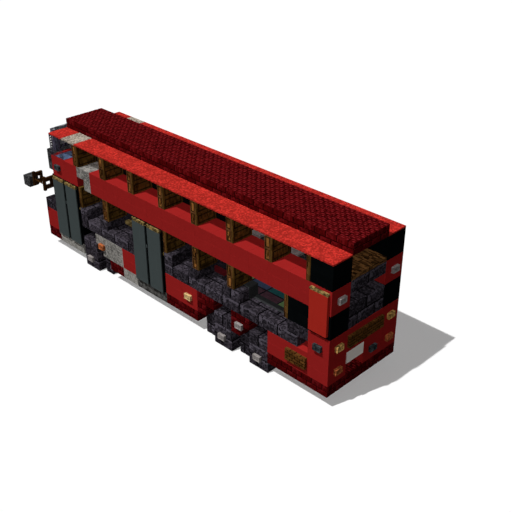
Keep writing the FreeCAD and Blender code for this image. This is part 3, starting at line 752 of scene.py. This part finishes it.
def lamp_finishes():
    """Lamps, buttons and glass."""
    finish("orange", paint(172, 97, 57), (0.5, 1.0, 1.5), rough=0.5)
    finish("pale_yellow", paint(220, 186, 130), (0.55, 1.0, 1.2), rough=0.5)
    finish("dim_yellow", paint(184, 145, 84), (0.3, 1.0, 1.7), rough=0.5, **SPECKLED)
    finish("pale_button", paint(150, 143, 141), (0.7, 1.0, 1.2), rough=0.6)
    finish("dark_button", paint(56, 60, 63), (0.3, 1.0, 2.4), rough=0.6)
    finish("pane_edge", paint(104, 104, 108), (0.05, 0.6, 2.2), weights=(0.1, 0.0, 0.9))
    glass_finish("glass", paint(24, 24, 30), paint(88, 82, 104), 0.78, 0.9)
    glass_finish("side_glass", paint(14, 14, 18), paint(60, 60, 70), 0.12, 0.5)


def metal_finishes():
    """Wheels, underframe and engine."""
    finish("steel", paint(120, 120, 124), (0.7, 1.0, 1.2), rough=0.4, specular=0.5, metal=0.9, relief=0.0005)
    finish("chassis", paint(30, 30, 33), (0.8, 1.0, 1.3), rough=0.5, specular=0.2, relief=0.0005)
    finish("iron", paint(70, 70, 72), (0.7, 1.0, 1.3), rough=0.6, metal=0.6)
    finish("tyre", paint(22, 22, 23), (0.8, 1.0, 1.2), rough=0.9, specular=0.1, relief=0.0006)


def inside_finishes():
    """Floors, coloured tiles, boards and ledges."""
    finish("floor", paint(40, 36, 42), (0.5, 1.0, 1.7))
    finish("dark_floor", paint(12, 14, 14), (0.6, 1.0, 1.4))
    # seat_shade_board: partly a dark partition, partly painted shade over the rear seat's inner half
    finish("seat_shade_board", paint(54, 56, 57), (0.85, 1.0, 1.1))
    finish("ledge_blue", paint(98, 118, 152), (0.3, 1.0, 1.2), weights=(0.6, 0.4, 0.0))
    finish("blue_grey", paint(72, 84, 112), (0.85, 1.0, 1.1))
    finish("mauve_tile", paint(84, 58, 68), (0.8, 1.0, 1.2))
    finish("teal_tile", paint(40, 92, 94), (0.85, 1.0, 1.15))
    finish("green_tile", paint(110, 140, 92), (0.85, 1.0, 1.15))
    finish("olive_tile", paint(150, 128, 80), (0.4, 1.0, 1.5))
    finish("wine_tile", paint(92, 24, 30), (0.8, 1.0, 1.2))


# ---- operators ----

class BUS_OT_finishes(bpy.types.Operator):
    """Make the finishes and put them on the CAD pieces"""
    bl_idname = "bus.finishes"
    bl_label = "Finishes"

    def execute(self, context):
        for group in (paint_finishes, stone_finishes, wood_finishes, soft_finishes):
            group(context.scene.bus.colours)
        for group in (lamp_finishes, metal_finishes, inside_finishes):
            group()
        for node, thing in frame["nodes"].items():
            for slot in thing.material_slots:
                # the sills take the lighter stone, partly painted light
                slot.material = look("sill_stone" if node == "light_sills" else SLOTS[node])
        laid_pieces_tree()
        ring_tree()
        return {"FINISHED"}


class BUS_OT_brickwork(bpy.types.Operator):
    """Lay the bricks of the roof, the skirts and the blocks between the rear wheels"""
    bl_idname = "bus.brickwork"
    bl_label = "Brickwork"

    def execute(self, context):
        for name, *nodes in (
            ("roof_bricks", "roof_slab"),
            ("skirt_bricks", "brick_skirts", "brick_arch_blocks"),
        ):
            cover_nodes(name, nodes, "dark_red_brick", "brick_mortar", (0.5, 0.25), **brick_settings(context))
        return {"FINISHED"}


class BUS_OT_stonework(bpy.types.Operator):
    """Lay the stones of the waist, seats, arches, rear tiers, stair and rear wheel covers"""
    bl_idname = "bus.stonework"
    bl_label = "Stonework"

    def execute(self, context):
        settings = brick_settings(context, STONE_JOINT)
        for name, node in (
            ("arch_stones", "stone_arch_steps"),
            ("waist_stones", "stone_waist_row"),
            ("seat_stones", "lower_seats"),
            ("rear_tier_stones", "rear_stone_tiers"),
            ("stair_stones", "staircase"),
        ):
            cover_nodes(name, [node], *STONES, **settings)
        cover_nodes("rear_cover_stones", ["rear_wheel_covers"], *STONES, **{**settings, **THIN_STONES})
        return {"FINISHED"}


class BUS_OT_panels(bpy.types.Operator):
    """Lay the red body panels in single blocks, with the pale stone between them"""
    bl_idname = "bus.panels"
    bl_label = "Body panels"

    def execute(self, context):
        for name, node, finish_name, seam in (
            ("side_panels", "red_side_panels", "red_paint", "red_seam"),
            ("end_panels", "red_end_panels", "red_paint", "red_seam"),
            ("deck_band_panels", "red_deck_band", "red_paint", "red_seam"),
            ("pale_stones", "light_stone_panels", "light_stone", "light_stone"),
            ("corner_panels", "black_corner_blocks", "black", "black"),
        ):
            cover_nodes(name, [node], finish_name, seam, (1.0, 1.0), bond=0, joint=0.003, bed=0.003,
                        uneven=0.0, edge=0.0012)
        return {"FINISHED"}


class BUS_OT_posts(bpy.types.Operator):
    """Carve the wooden window posts"""
    bl_idname = "bus.posts"
    bl_label = "Window posts"

    PANEL_SPLITS = (3.0, 5.0)      # heights at which a post's panels meet
    PLAIN = 0.09                   # the plain strip along the rear edge of a post's outer face
    WIDE = 0.2                     # an outer face wider than this has the wider stile
    WIDE_STILE, NARROW_STILE = 0.6, 0.3    # on outer faces, in stiles of the side faces
    # the outer fields' finish is painted lighter and the grooves' darker: partly painted light and shade
    FINISHES = ("dark_wood", "brown_wood", "bright_wood", "groove_wood", "post_wood", "dark_wood")
    OUTER, OUTER_FIELD, GROOVE, STRIP, SIDE_FIELD = 1, 2, 3, 4, 5

    def execute(self, context):
        trim = context.scene.bus.trim
        bm = solid_copy("wood_window_posts")
        for z in self.PANEL_SPLITS:
            cut(bm, 2, place(0, 0, z).z)
        bm.normal_update()
        upright = [face for face in bm.faces if abs(face.normal.z) < MOSTLY_ALONG]
        ends = [face for face in upright if abs(face.normal.y) > MOSTLY_ALONG]
        sides = [face for face in upright if abs(face.normal.y) <= MOSTLY_ALONG]
        carved = [part for face in ends for part in self.without_strip(bm, face)]
        carve(bm, sides, trim.stile, trim.recess, field=self.SIDE_FIELD, groove=self.GROOVE)
        wide = [face for face in carved if self.width(face) > self.WIDE * BLOCK]
        narrow = [face for face in carved if face not in wide]
        carve(bm, wide, trim.stile * self.WIDE_STILE, trim.recess, field=self.OUTER_FIELD, groove=self.GROOVE)
        carve(bm, narrow, trim.stile * self.NARROW_STILE, trim.recess * 0.5, field=self.OUTER_FIELD,
              groove=self.GROOVE)
        keep(softened("window_post_boards", bm, self.FINISHES, SMALL_EDGE), "wood_window_posts")
        return {"FINISHED"}

    def without_strip(self, bm, face):
        """Parts a plain strip from the rear of an outer face, and returns what is left to carve."""
        rear = min(vertex.co.x for vertex in face.verts) + self.PLAIN * BLOCK
        around = [face, *face.edges, *face.verts]
        made = bmesh.ops.bisect_plane(bm, geom=around, plane_co=(rear, 0, 0), plane_no=(1, 0, 0))["geom"]
        parts = [part for part in made if isinstance(part, bmesh.types.BMFace)]
        for part in parts:
            part.material_index = self.OUTER if part.calc_center_median().x > rear else self.STRIP
        return [part for part in parts if part.material_index == self.OUTER]

    @staticmethod
    def width(face):
        across = [vertex.co.x for vertex in face.verts]
        return max(across) - min(across)


class BUS_OT_doors(bpy.types.Operator):
    """Make the four door leaves, their catches and the header bars"""
    bl_idname = "bus.doors"
    bl_label = "Doors"

    DOORS = (("front", 16.0), ("centre", 10.0))    # name and middle
    DOOR_HALF = 1.0
    CATCH_Z = (2.33, 2.47)
    FACE_Y = 2.09                  # a leaf's slate face lies outside of this, its black backing inside
    RAIL_Z = 3.36                  # a leaf is tan above this height
    # the black on the bars' tops is partly painted shade of the gap under the deck band
    GAP_Y = 2.065                  # the top of a header bar over a door is black inside of this
    GAP_X = 8.0                    # the bars over the doors lie ahead of this

    def execute(self, context):
        edge = context.scene.bus.trim.edge
        for door, middle in self.DOORS:
            for side in ("rear", "front"):
                self.leaf(door + "_door_" + side + "_leaf", middle if side == "front" else None)
        starts = [middle - self.DOOR_HALF for _, middle in self.DOORS]
        keepers = boxes(*(
            side_box(1, (start + 0.015, start + 0.055), (1.99, 2.012), self.CATCH_Z) for start in starts))
        keep(softened("door_keepers", keepers, ["tan"], SMALL_EDGE), slot="tan")
        bars = solid_copy("header_bars")
        gap = place(self.GAP_X, self.GAP_Y, 0)
        cut(bars, 1, gap.y)
        # painted shade: the inner half of each door bar's top is black, partly a dark strip of its own
        for face in bars.faces:
            spot = face.calc_center_median()
            over_gap = face.normal.z > MOSTLY_ALONG and spot.x > gap.x and spot.y < gap.y
            face.material_index = 1 if over_gap else 0
        keep(softened("header_bar_boards", bars, ["tan", "black"], edge), "header_bars")
        keep(softened("door_frame_trim", solid_copy("black_frames"), ["black"], edge), "black_frames")
        return {"FINISHED"}

    def leaf(self, node, catch_x):
        """One leaf: slate outside with a tan rail on top, black inside; catch_x is where its catch starts."""
        bm = solid_copy(node)
        rail = place(0, self.FACE_Y, self.RAIL_Z)
        cut(bm, 2, rail.z)
        for face in bm.faces:
            spot = face.calc_center_median()
            face.material_index = 0 if spot.y > rail.y else 1
            if face.normal.y > SQUARELY_ALONG and spot.z > rail.z:
                face.material_index = 2
        outer = [face for face in bm.faces if face.normal.y > SQUARELY_ALONG and face.material_index == 0]
        sink(bm, outer, 0.012, 0.003, 0.002)
        leaf = softened(node + "_panel", bm, ["slate", "black", "tan"], SMALL_EDGE)
        if catch_x:
            catch = boxes(side_box(1, (catch_x + 0.01, catch_x + 0.06), (2.075, 2.105), self.CATCH_Z))
            leaf = merged_with(leaf, [softened("catch", catch, ["slate"], 0.003)])
        keep(leaf, node, body=node)


class BUS_OT_signs(bpy.types.Operator):
    """Make the blank plank signs, the shelf, the blank plates and the hanging panels"""
    bl_idname = "bus.signs"
    bl_label = "Signs and shelf"

    def execute(self, context):
        cover_nodes("sign_planks", ["plank_signs"], "sign_wood", "sign_gap", (0.25, 0.125), thick=0.016,
                    bed=0.008, uneven=0.003, edge=0.003)
        cover_nodes("shelf_boards", ["rear_wood_shelf"], "shelf_wood", "wood_gap", (1.0, 0.25), joint=0.02,
                    bed=0.008, uneven=0.006, edge=0.006)
        plates = solid_copy("blank_plates")
        sink(plates, largest(plates, 0.3), 0.012, 0.004, 0.002)
        keep(softened("blank_plate_faces", plates, ["pale_plate"], 0.003), "blank_plates")
        hanging = solid_copy("rear_hanging_panels")
        keep(softened("hanging_panel_boards", hanging, ["banner"], context.scene.bus.trim.edge),
             "rear_hanging_panels")
        return {"FINISHED"}


class BUS_OT_lamps(bpy.types.Operator):
    """Round off the square lamps and buttons"""
    bl_idname = "bus.lamps"
    bl_label = "Lamps and buttons"

    def execute(self, context):
        for node, *finishes in (
            ("orange_lamps", "orange"),
            ("yellow_lamps", "pale_yellow", "dim_yellow"),
            ("grey_buttons", "pale_button"),
            ("dark_buttons", "dark_button"),
        ):
            bm = solid_copy(node)
            sink(bm, largest(bm, 0.9), 0.03, 0.008, 0.006)
            if len(finishes) > 1:
                for face in bm.faces:
                    on_rear_wall = face.calc_center_median().x < ORIGIN.x
                    face.material_index = 1 if on_rear_wall else 0
            keep(softened(node + "_caps", bm, finishes, context.scene.bus.trim.edge), node)
        return {"FINISHED"}


class BUS_OT_mirrors(bpy.types.Operator):
    """Make the mirror heads, the wooden arms that hold them and the front blind case"""
    bl_idname = "bus.mirrors"
    bl_label = "Mirrors"

    def execute(self, context):
        trim = context.scene.bus.trim
        keep(softened("mirror_arm_bars", solid_copy("mirror_arms"), ["arm_wood"], trim.edge), "mirror_arms")
        heads = solid_copy("mirror_heads")
        carve(heads, heads.faces[:], trim.stile, trim.recess * 0.6)
        keep(softened("mirror_head_boxes", heads, ["charcoal"], trim.edge), "mirror_heads")
        blind = solid_copy("front_blind_box")
        ahead = [face for face in blind.faces if face.normal.x > SQUARELY_ALONG]
        carve(blind, ahead, trim.stile, trim.recess)
        keep(softened("front_blind_case", blind, ["charcoal"], trim.edge), "front_blind_box")
        return {"FINISHED"}


class BUS_OT_wheels(bpy.types.Operator):
    """Make the tyres with their treads, the discs with their nuts, and the steered front covers"""
    bl_idname = "bus.wheels"
    bl_label = "Wheels"

    AXLES_X = (("front", 14.5), ("rear", 3.5), ("middle", 5.5))
    AXLE_Z = -0.01
    TYRE_R = 0.49
    SHOULDER_R, DISC_R, NUT_RING = 0.47, 0.3, 0.2
    TREAD = 0.008                  # how far the carcass lies inside the solid's tread, in metres
    TREAD_TOP = 0.0015             # how far a tread block's top stays inside it, in metres
    TREAD_WIDE, TREAD_HIGH = 0.032, 0.012   # a tread block round the tyre and outwards, in metres
    TREAD_SHARE = 0.75             # a tread block's length, in rows
    FRONT_TREADS, REAR_TREADS = (1.44, 1.87, 4), (1.09, 1.87, 8)   # inner and outer end, and rows
    TWIN_GAP = (1.48, 0.06)        # the middle of the gap between twin rear tyres, and half its width
    NUTS_Y = {True: 1.81, False: 1.06}     # on a front and on a rear wheel
    NUT, FIRST_NUT = (0.024, 0.02, 0.024), 0.1    # a nut's size in metres, and the first one's angle
    DISC_FACES = 0.7               # the share of a normal across the wheel from which a face is the disc's
    COVER_BOXES = (((13.97, 14.98), (1.92, 2.0)), ((13.97, 13.99), (1.41, 1.92)))   # plate and flap, x and y
    COVER_Z = (-0.48, 0.48)
    CAP = ((14.5 - 3 * FINE, 14.5 + 3 * FINE), (1.995, 2.125), (-2 * FINE, 2 * FINE))

    def execute(self, context):
        trim = context.scene.bus.trim
        for end, x in self.AXLES_X:
            for side, sign in zip(("left", "right"), SIDES):
                self.wheel(end + "_" + side + "_wheel", x, sign, end == "front", trim)
        for side, sign in zip(("left", "right"), SIDES):
            node = side + "_front_wheel_cover"
            parts = [boxes(side_box(sign, x, y, self.COVER_Z)) for x, y in self.COVER_BOXES]
            plate = laid_over(node + "_stones", parts, *STONES,
                              **{**brick_settings(context, STONE_JOINT), **THIN_STONES})
            cap = softened("cap", boxes(side_box(sign, *self.CAP)), ["pale_button"], trim.edge)
            keep(merged_with(plate, [cap]), node, body=side + "_knuckle")
        return {"FINISHED"}

    @staticmethod
    def ring(finish_name, values):
        values["Material"] = look(finish_name)
        return grown(new_object("ring", bpy.data.meshes.new("ring")), "ring_pieces", values, SMALL_EDGE)

    def wheel(self, node, x, sign, front, trim):
        """One wheel: a carcass a tread's height smaller than the solid, rows of tread blocks, and nuts."""
        bm = solid_copy(node)
        centre = place(x, 0, self.AXLE_Z)
        for vertex in bm.verts:
            out = Vector((vertex.co.x - centre.x, 0, vertex.co.z - centre.z))
            if out.length > self.SHOULDER_R * BLOCK:
                vertex.co -= out.normalized() * self.TREAD
        for face in bm.faces:
            spot = face.calc_center_median() - centre
            near = math.hypot(spot.x, spot.z) < self.DISC_R * BLOCK
            face.material_index = 1 if near and abs(face.normal.y) > self.DISC_FACES else 0
        carcass = from_bmesh(node + "_tyre", bm, ["tyre", "steel"])
        low, high, rows = self.FRONT_TREADS if front else self.REAR_TREADS
        gap = (high - low) / rows
        rings = []
        for k in range(rows):
            middle = low + gap * (k + 0.5)
            if not front and abs(middle - self.TWIN_GAP[0]) < self.TWIN_GAP[1]:
                continue
            rings.append(self.ring("tyre", {
                "Count": trim.treads,
                "Radius": self.TYRE_R * BLOCK - self.TREAD_TOP - self.TREAD_HIGH / 2,
                "Centre": place(x, sign * middle, self.AXLE_Z),
                "Start angle": (k % 2) * math.pi / trim.treads,
                "Piece size": (self.TREAD_WIDE, gap * BLOCK * self.TREAD_SHARE, self.TREAD_HIGH)}))
        rings.append(self.ring("steel", {
            "Count": trim.studs, "Radius": self.NUT_RING * BLOCK, "Start angle": self.FIRST_NUT,
            "Centre": place(x, sign * self.NUTS_Y[front], self.AXLE_Z), "Piece size": self.NUT}))
        keep(merged_with(carcass, rings), node, body=node)


class BUS_OT_felt(bpy.types.Operator):
    """Lay the thick felt along both edges of the roof"""
    bl_idname = "bus.felt"
    bl_label = "Roof felt"

    CELLS = 8                      # cuts to a block, which let the pile wave
    WAVE_X, WAVE_Y, CROSS_WAVE = 37.1, 23.7, 51.3    # how close the waves lie, in radians to a metre

    def execute(self, context):
        pile = context.scene.bus.trim.pile
        for node, finish_name in (("felt_roof_strips", "red_felt"), ("pale_felt_strips", "pale_felt")):
            bm = solid_copy(node)
            bmesh.ops.bevel(bm, geom=bm.edges[:], offset=0.004, segments=2, affect="EDGES", profile=0.6)
            low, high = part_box(node)
            for k in range(1, round((high.x - low.x) / BLOCK * self.CELLS)):
                cut(bm, 0, low.x + k * BLOCK / self.CELLS)
            for sign in SIDES:
                for k in range(self.CELLS + 1, 2 * self.CELLS):
                    cut(bm, 1, sign * k * BLOCK / self.CELLS)
            for vertex in bm.verts:
                if vertex.co.z > high.z - 1e-4:
                    wave = math.sin(vertex.co.x * self.WAVE_X + vertex.co.y * self.WAVE_Y)
                    wave *= math.sin(vertex.co.y * self.CROSS_WAVE)
                    vertex.co.z -= pile * 0.5 * (1 + wave)
            piece = from_bmesh(finish_name + "_runners", bm, [finish_name])
            keep(piece, node)
        return {"FINISHED"}


class BUS_OT_glazing(bpy.types.Operator):
    """Edge the glass panes with small blocks, and give the side panes clearer glass"""
    bl_idname = "bus.glazing"
    bl_label = "Glazing"

    ROOF_FRONT = 17.0              # panes behind this are clearer
    LEVEL_ROWS = (((17.5, -1.5, 5.5), 1, 24), ((17.0, 1.5, 5.5), 0, 4), ((17.0, -1.5, 5.5), 0, 4))
    UPRIGHT_ROWS = (((16.97, 1.935, 4.5), 2, 8), ((16.97, -1.935, 4.5), 2, 8))   # start, axis and count
    LEVEL_THICK = 0.012

    def execute(self, context):
        small = FINE * BLOCK
        laying = Laying()
        for rows, size in ((self.LEVEL_ROWS, Vector((2 * small, 2 * small, self.LEVEL_THICK))),
                           (self.UPRIGHT_ROWS, Vector((small, 2 * small, small)))):
            for start, axis, count in rows:
                for k in range(count):
                    spot = place(*start)
                    spot[axis] += (k + 0.5) * 2 * small
                    laying.add(spot, size, Vector((0, 0, 1)))
        keep(laying.made("pane_edging", "pane_edge", joint=0.004), slot="black")
        bm = solid_copy("glass_panes")
        split_x = place(self.ROOF_FRONT, 0, 0).x
        for face in bm.faces:
            face.material_index = 1 if face.calc_center_median().x < split_x else 0
        keep(from_bmesh("glass_sheets", bm, ["glass", "side_glass"]), "glass_panes")
        return {"FINISHED"}


class BUS_OT_interior(bpy.types.Operator):
    """Tile the floors and make the benches, the driver's seat and the small things inside"""
    bl_idname = "bus.interior"
    bl_label = "Interior"

    COLOUR_TILES = (               # tiles of the lower deck, by the corner they start from
        ("green_tile", (3, 0), (6, -1)), ("mauve_tile", (4, 0), (5, 0)), ("teal_tile", (4, -1)),
        ("blue_grey", (5, -1)), ("wine_tile", (7, 0)), ("olive_tile", (13.1, 0)),
    )
    TILE_GAP = 0.04
    TILE_Z = (1.49, 1.508)
    PALE_BOXES = (((5.05, 0.0, 4.0), (5.6, 0.35, 4.12)), ((3.0, 0.0, 4.0), (3.65, 0.45, 4.12)))
    LEDGE_PLATE = ((16.0, 16.7), (1.12, 1.94), (4.495, 4.52))
    # these dark boards are partly a partition and partly painted shade where the seat's inner half is shaded
    SEAT_BOARDS = (                # on the sill behind the rear seat, and on the seat's top and back
        ((2.8, 4.48), (1.0, 1.3), (1.995, 2.012)),
        ((4.48, 5.0), (1.0, 1.5), (2.495, 2.512)),
        ((4.48, 4.5), (1.0, 1.5), (1.995, 2.495)),
    )
    PEDESTAL = ((15.55, -0.73, 1.5), (15.85, -0.43, 1.86))
    CUSHIONS = (
        ("driver_seat_cushion", (15.35, -0.93, 1.85), (16.05, -0.23, 2.02)),
        ("driver_seat_back", (15.35, -0.93, 2.0), (15.52, -0.23, 2.95)),
    )

    def execute(self, context):
        edge = context.scene.bus.trim.edge
        for name, node, finish_name in (("lower_floor_tiles", "lower_floor", "floor"),
                                        ("upper_floor_tiles", "upper_floor", "dark_floor")):
            cover_nodes(name, [node], finish_name, "stone_mortar", (0.5, 0.5), bond=0, joint=0.008, bed=0.004,
                        uneven=0.001, edge=0.003)
        cover_nodes("bench_slats", ["upper_benches"], "charcoal", "chassis", (1.0, 0.125), bond=0,
                    thick=0.016, joint=0.012, bed=0.007)
        for tint, *places in self.COLOUR_TILES:
            tiles = boxes(*(self.tile(x, y) for x, y in places))
            keep(softened("floor_tile_" + tint, tiles, [tint], 0.003), slot="floor")
        keep(softened("foot_boxes", boxes(*self.PALE_BOXES), ["pale_button"], edge), slot="light_stone")
        # painted shade, partly a dark partition, over the rear seats' inner halves
        boards = boxes(*(side_box(sign, *board) for sign in SIDES for board in self.SEAT_BOARDS))
        keep(softened("inner_seat_shade_boards", boards, ["seat_shade_board"], SMALL_EDGE), slot="charcoal")
        plates = boxes(*(side_box(sign, *self.LEDGE_PLATE) for sign in SIDES))
        keep(softened("corner_ledge_plates", plates, ["ledge_blue"], 0.004), slot="pale_plate")
        keep(softened("driver_seat_pedestal", boxes(self.PEDESTAL), ["chassis"], edge), "driver_seat",
             slot="chassis")
        for name, low, high in self.CUSHIONS:
            cushion = self.cushion(name, low, high)
            keep(cushion, "driver_seat")
        return {"FINISHED"}

    def tile(self, x, y):
        near, far = self.TILE_GAP, 1 - self.TILE_GAP
        return (x + near, y + near, self.TILE_Z[0]), (x + far, y + far, self.TILE_Z[1])

    @staticmethod
    def cushion(name, low, high):
        """A crowned pad whose sides pull in between its corners."""
        crown, pull = 0.55, 0.04
        bm = bmesh.new()
        bmesh.ops.create_cube(bm, size=2.0)
        bmesh.ops.subdivide_edges(bm, edges=bm.edges[:], cuts=7, use_grid_fill=True)
        low, high = place(*low), place(*high)
        half = (high - low) / 2
        thin = min(range(3), key=lambda k: half[k])
        wide = [k for k in range(3) if k != thin]
        for vertex in bm.verts:
            p = vertex.co.copy()
            a, b = p[wide[0]], p[wide[1]]
            spot = Vector()
            spot[thin] = p[thin] * (1 - crown + crown * (1 - a ** 6) * (1 - b ** 6))
            spot[wide[0]] = a * (1 - pull * (1 - b * b) * abs(a))
            spot[wide[1]] = b * (1 - pull * (1 - a * a) * abs(b))
            vertex.co = (low + high) / 2 + Vector(spot[k] * half[k] for k in range(3))
        for face in bm.faces:
            face.smooth = True
        piece = from_bmesh(name, bm, ["seat_cloth"])
        piece.modifiers.new("smooth", "SUBSURF").levels = 1
        return settle(piece)


class BUS_OT_underside(bpy.types.Operator):
    """Rib the engine and rivet the underframe"""
    bl_idname = "bus.underside"
    bl_label = "Underside"

    RIVET_ROW = (1.125, 0.25, 64)  # start, step and count
    RIVET_Y, RIVET_Z = 0.575, 0.1
    RIVET_SIZE = (0.02, 0.02, 0.008)

    def execute(self, context):
        cover_nodes("engine_ribs", ["engine"], "iron", "chassis", (0.5, 0.125), bond=0, thick=0.02,
                    joint=0.03, bed=0.018)
        start, step, count = self.RIVET_ROW
        laying = Laying()
        for sign in SIDES:
            for k in range(count):
                spot = place(start + k * step, sign * self.RIVET_Y, self.RIVET_Z)
                laying.add(spot, Vector(self.RIVET_SIZE), Vector((0, 0, -1)))
        keep(laying.made("frame_rivets", "steel", edge=0.003), slot="chassis")
        return {"FINISHED"}


class BUS_OT_stage(bpy.types.Operator):
    """Set up the floor, the light and the camera"""
    bl_idname = "bus.stage"
    bl_label = "Stage"

    SUN_TOWARDS = (-0.138, -0.525, -1.0)
    SUN_SPREAD, FILL_SPREAD = math.radians(0.8), math.radians(20)
    FILLS = (                      # the way each fill lamp shines, and its share
        ((1, 0, 0), 1.0), ((-1, 0, 0), 1.0), ((0, 1, 0), 1.0), ((0, -1, 0), 1.75), ((0, 0, 1), 1.0),
        ((0, 0, -1), 2.6),
    )
    FLOOR_HALF = 150
    FLOOR_GLOW = 0.03
    FLOOR_BOUNCE = 0.04            # how light the floor is to the light that it throws back on the bus
    CAMERA_REACH = 500

    def execute(self, context):
        stage = context.scene.bus.stage
        self.floor()
        self.world(stage.sky)
        self.lamp("sun", self.SUN_TOWARDS, stage.sun, self.SUN_SPREAD)
        for towards, share in self.FILLS:
            fill = self.lamp("fill", towards, stage.fill * math.pi * share, self.FILL_SPREAD)
            fill.use_shadow = False
        eye = bpy.data.cameras.new("camera")
        eye.angle = stage.field
        eye.clip_end = self.CAMERA_REACH
        level = math.cos(stage.elevation)
        towards = Vector((level * math.cos(stage.azimuth), -level * math.sin(stage.azimuth),
                          -math.sin(stage.elevation)))
        camera = self.aimed("camera", eye, towards)
        camera.location = place(*stage.aim) - towards * stage.distance * BLOCK
        context.scene.camera = camera
        context.scene.view_settings.view_transform = "Standard"
        return {"FINISHED"}

    @staticmethod
    def aimed(name, data, towards):
        """A camera or a lamp in the scene, turned to look along a direction."""
        thing = bpy.data.objects.new(name, data)
        bpy.context.scene.collection.objects.link(thing)
        thing.rotation_euler = Vector(towards).to_track_quat("-Z", "Y").to_euler()
        return thing

    def lamp(self, name, towards, strength, spread):
        light = bpy.data.lights.new(name, "SUN")
        light.energy = strength
        light.angle = spread
        self.aimed(name, light, towards)
        return light

    @staticmethod
    def seen_directly(n):
        """1 for what the camera sees, directly, in a reflection or through glass."""
        path = n.add("ShaderNodeLightPath").outputs
        return n.most(n.most(path["Is Camera Ray"], path["Is Glossy Ray"]), path["Is Transmission Ray"])

    def floor(self):
        bm = bmesh.new()
        bmesh.ops.create_grid(bm, x_segments=1, y_segments=1, size=self.FLOOR_HALF)
        n, shader = new_material("bus_floor_white")
        seen = self.seen_directly(n)
        bounce, white = ((*[share] * 3, 1) for share in (self.FLOOR_BOUNCE, 0.99))
        n.feed(shader, {"Base Color": n.mix(seen, bounce, white), "Roughness": 1.0, "Specular IOR Level": 0.0,
                        "Emission Color": (1, 1, 1, 1), "Emission Strength": n.times(seen, self.FLOOR_GLOW)})
        from_bmesh("studio_floor", bm, ["floor_white"])

    def world(self, strength):
        world = bpy.data.worlds.new("studio")
        world.use_nodes = True
        bpy.context.scene.world = world
        n = Nodes(world.node_tree)
        strength = n.mix(self.seen_directly(n), strength, 1.0, "FLOAT")
        n.feed(world.node_tree.nodes["Background"], {"Color": (1, 1, 1, 1), "Strength": strength})


class BUS_PT_panel(bpy.types.Panel):
    """The bus pieces, in the sidebar"""
    bl_label = "Block-built bus"
    bl_idname = "BUS_PT_panel"
    bl_space_type = "VIEW_3D"
    bl_region_type = "UI"
    bl_category = "Bus"

    def draw(self, context):
        for operator in OPERATORS:
            self.layout.operator(operator.bl_idname)
        for group in ("bricks", "trim", "colours", "stage"):
            settings = getattr(context.scene.bus, group)
            box = self.layout.box()
            for name in settings.bl_rna.properties.keys():
                if name not in ("rna_type", "name"):
                    box.prop(settings, name)


OPERATORS = (
    BUS_OT_finishes, BUS_OT_brickwork, BUS_OT_stonework, BUS_OT_panels, BUS_OT_posts, BUS_OT_doors,
    BUS_OT_signs, BUS_OT_lamps, BUS_OT_mirrors, BUS_OT_wheels, BUS_OT_felt, BUS_OT_glazing,
    BUS_OT_interior, BUS_OT_underside, BUS_OT_stage,
)
CLASSES = (BusBrickSettings, BusTrimSettings, BusColourSettings, BusStageSettings, BusSettings, *OPERATORS,
           BUS_PT_panel)


def register():
    for kind in CLASSES:
        bpy.utils.register_class(kind)
    bpy.types.Scene.bus = bpy.props.PointerProperty(type=BusSettings, name="Bus", description="Bus settings")


def unregister():
    del bpy.types.Scene.bus
    for kind in reversed(CLASSES):
        bpy.utils.unregister_class(kind)


def main():
    register()
    for operator in OPERATORS:
        group, name = operator.bl_idname.split(".")
        getattr(getattr(bpy.ops, group), name)()


if __name__ == "__main__":
    main()
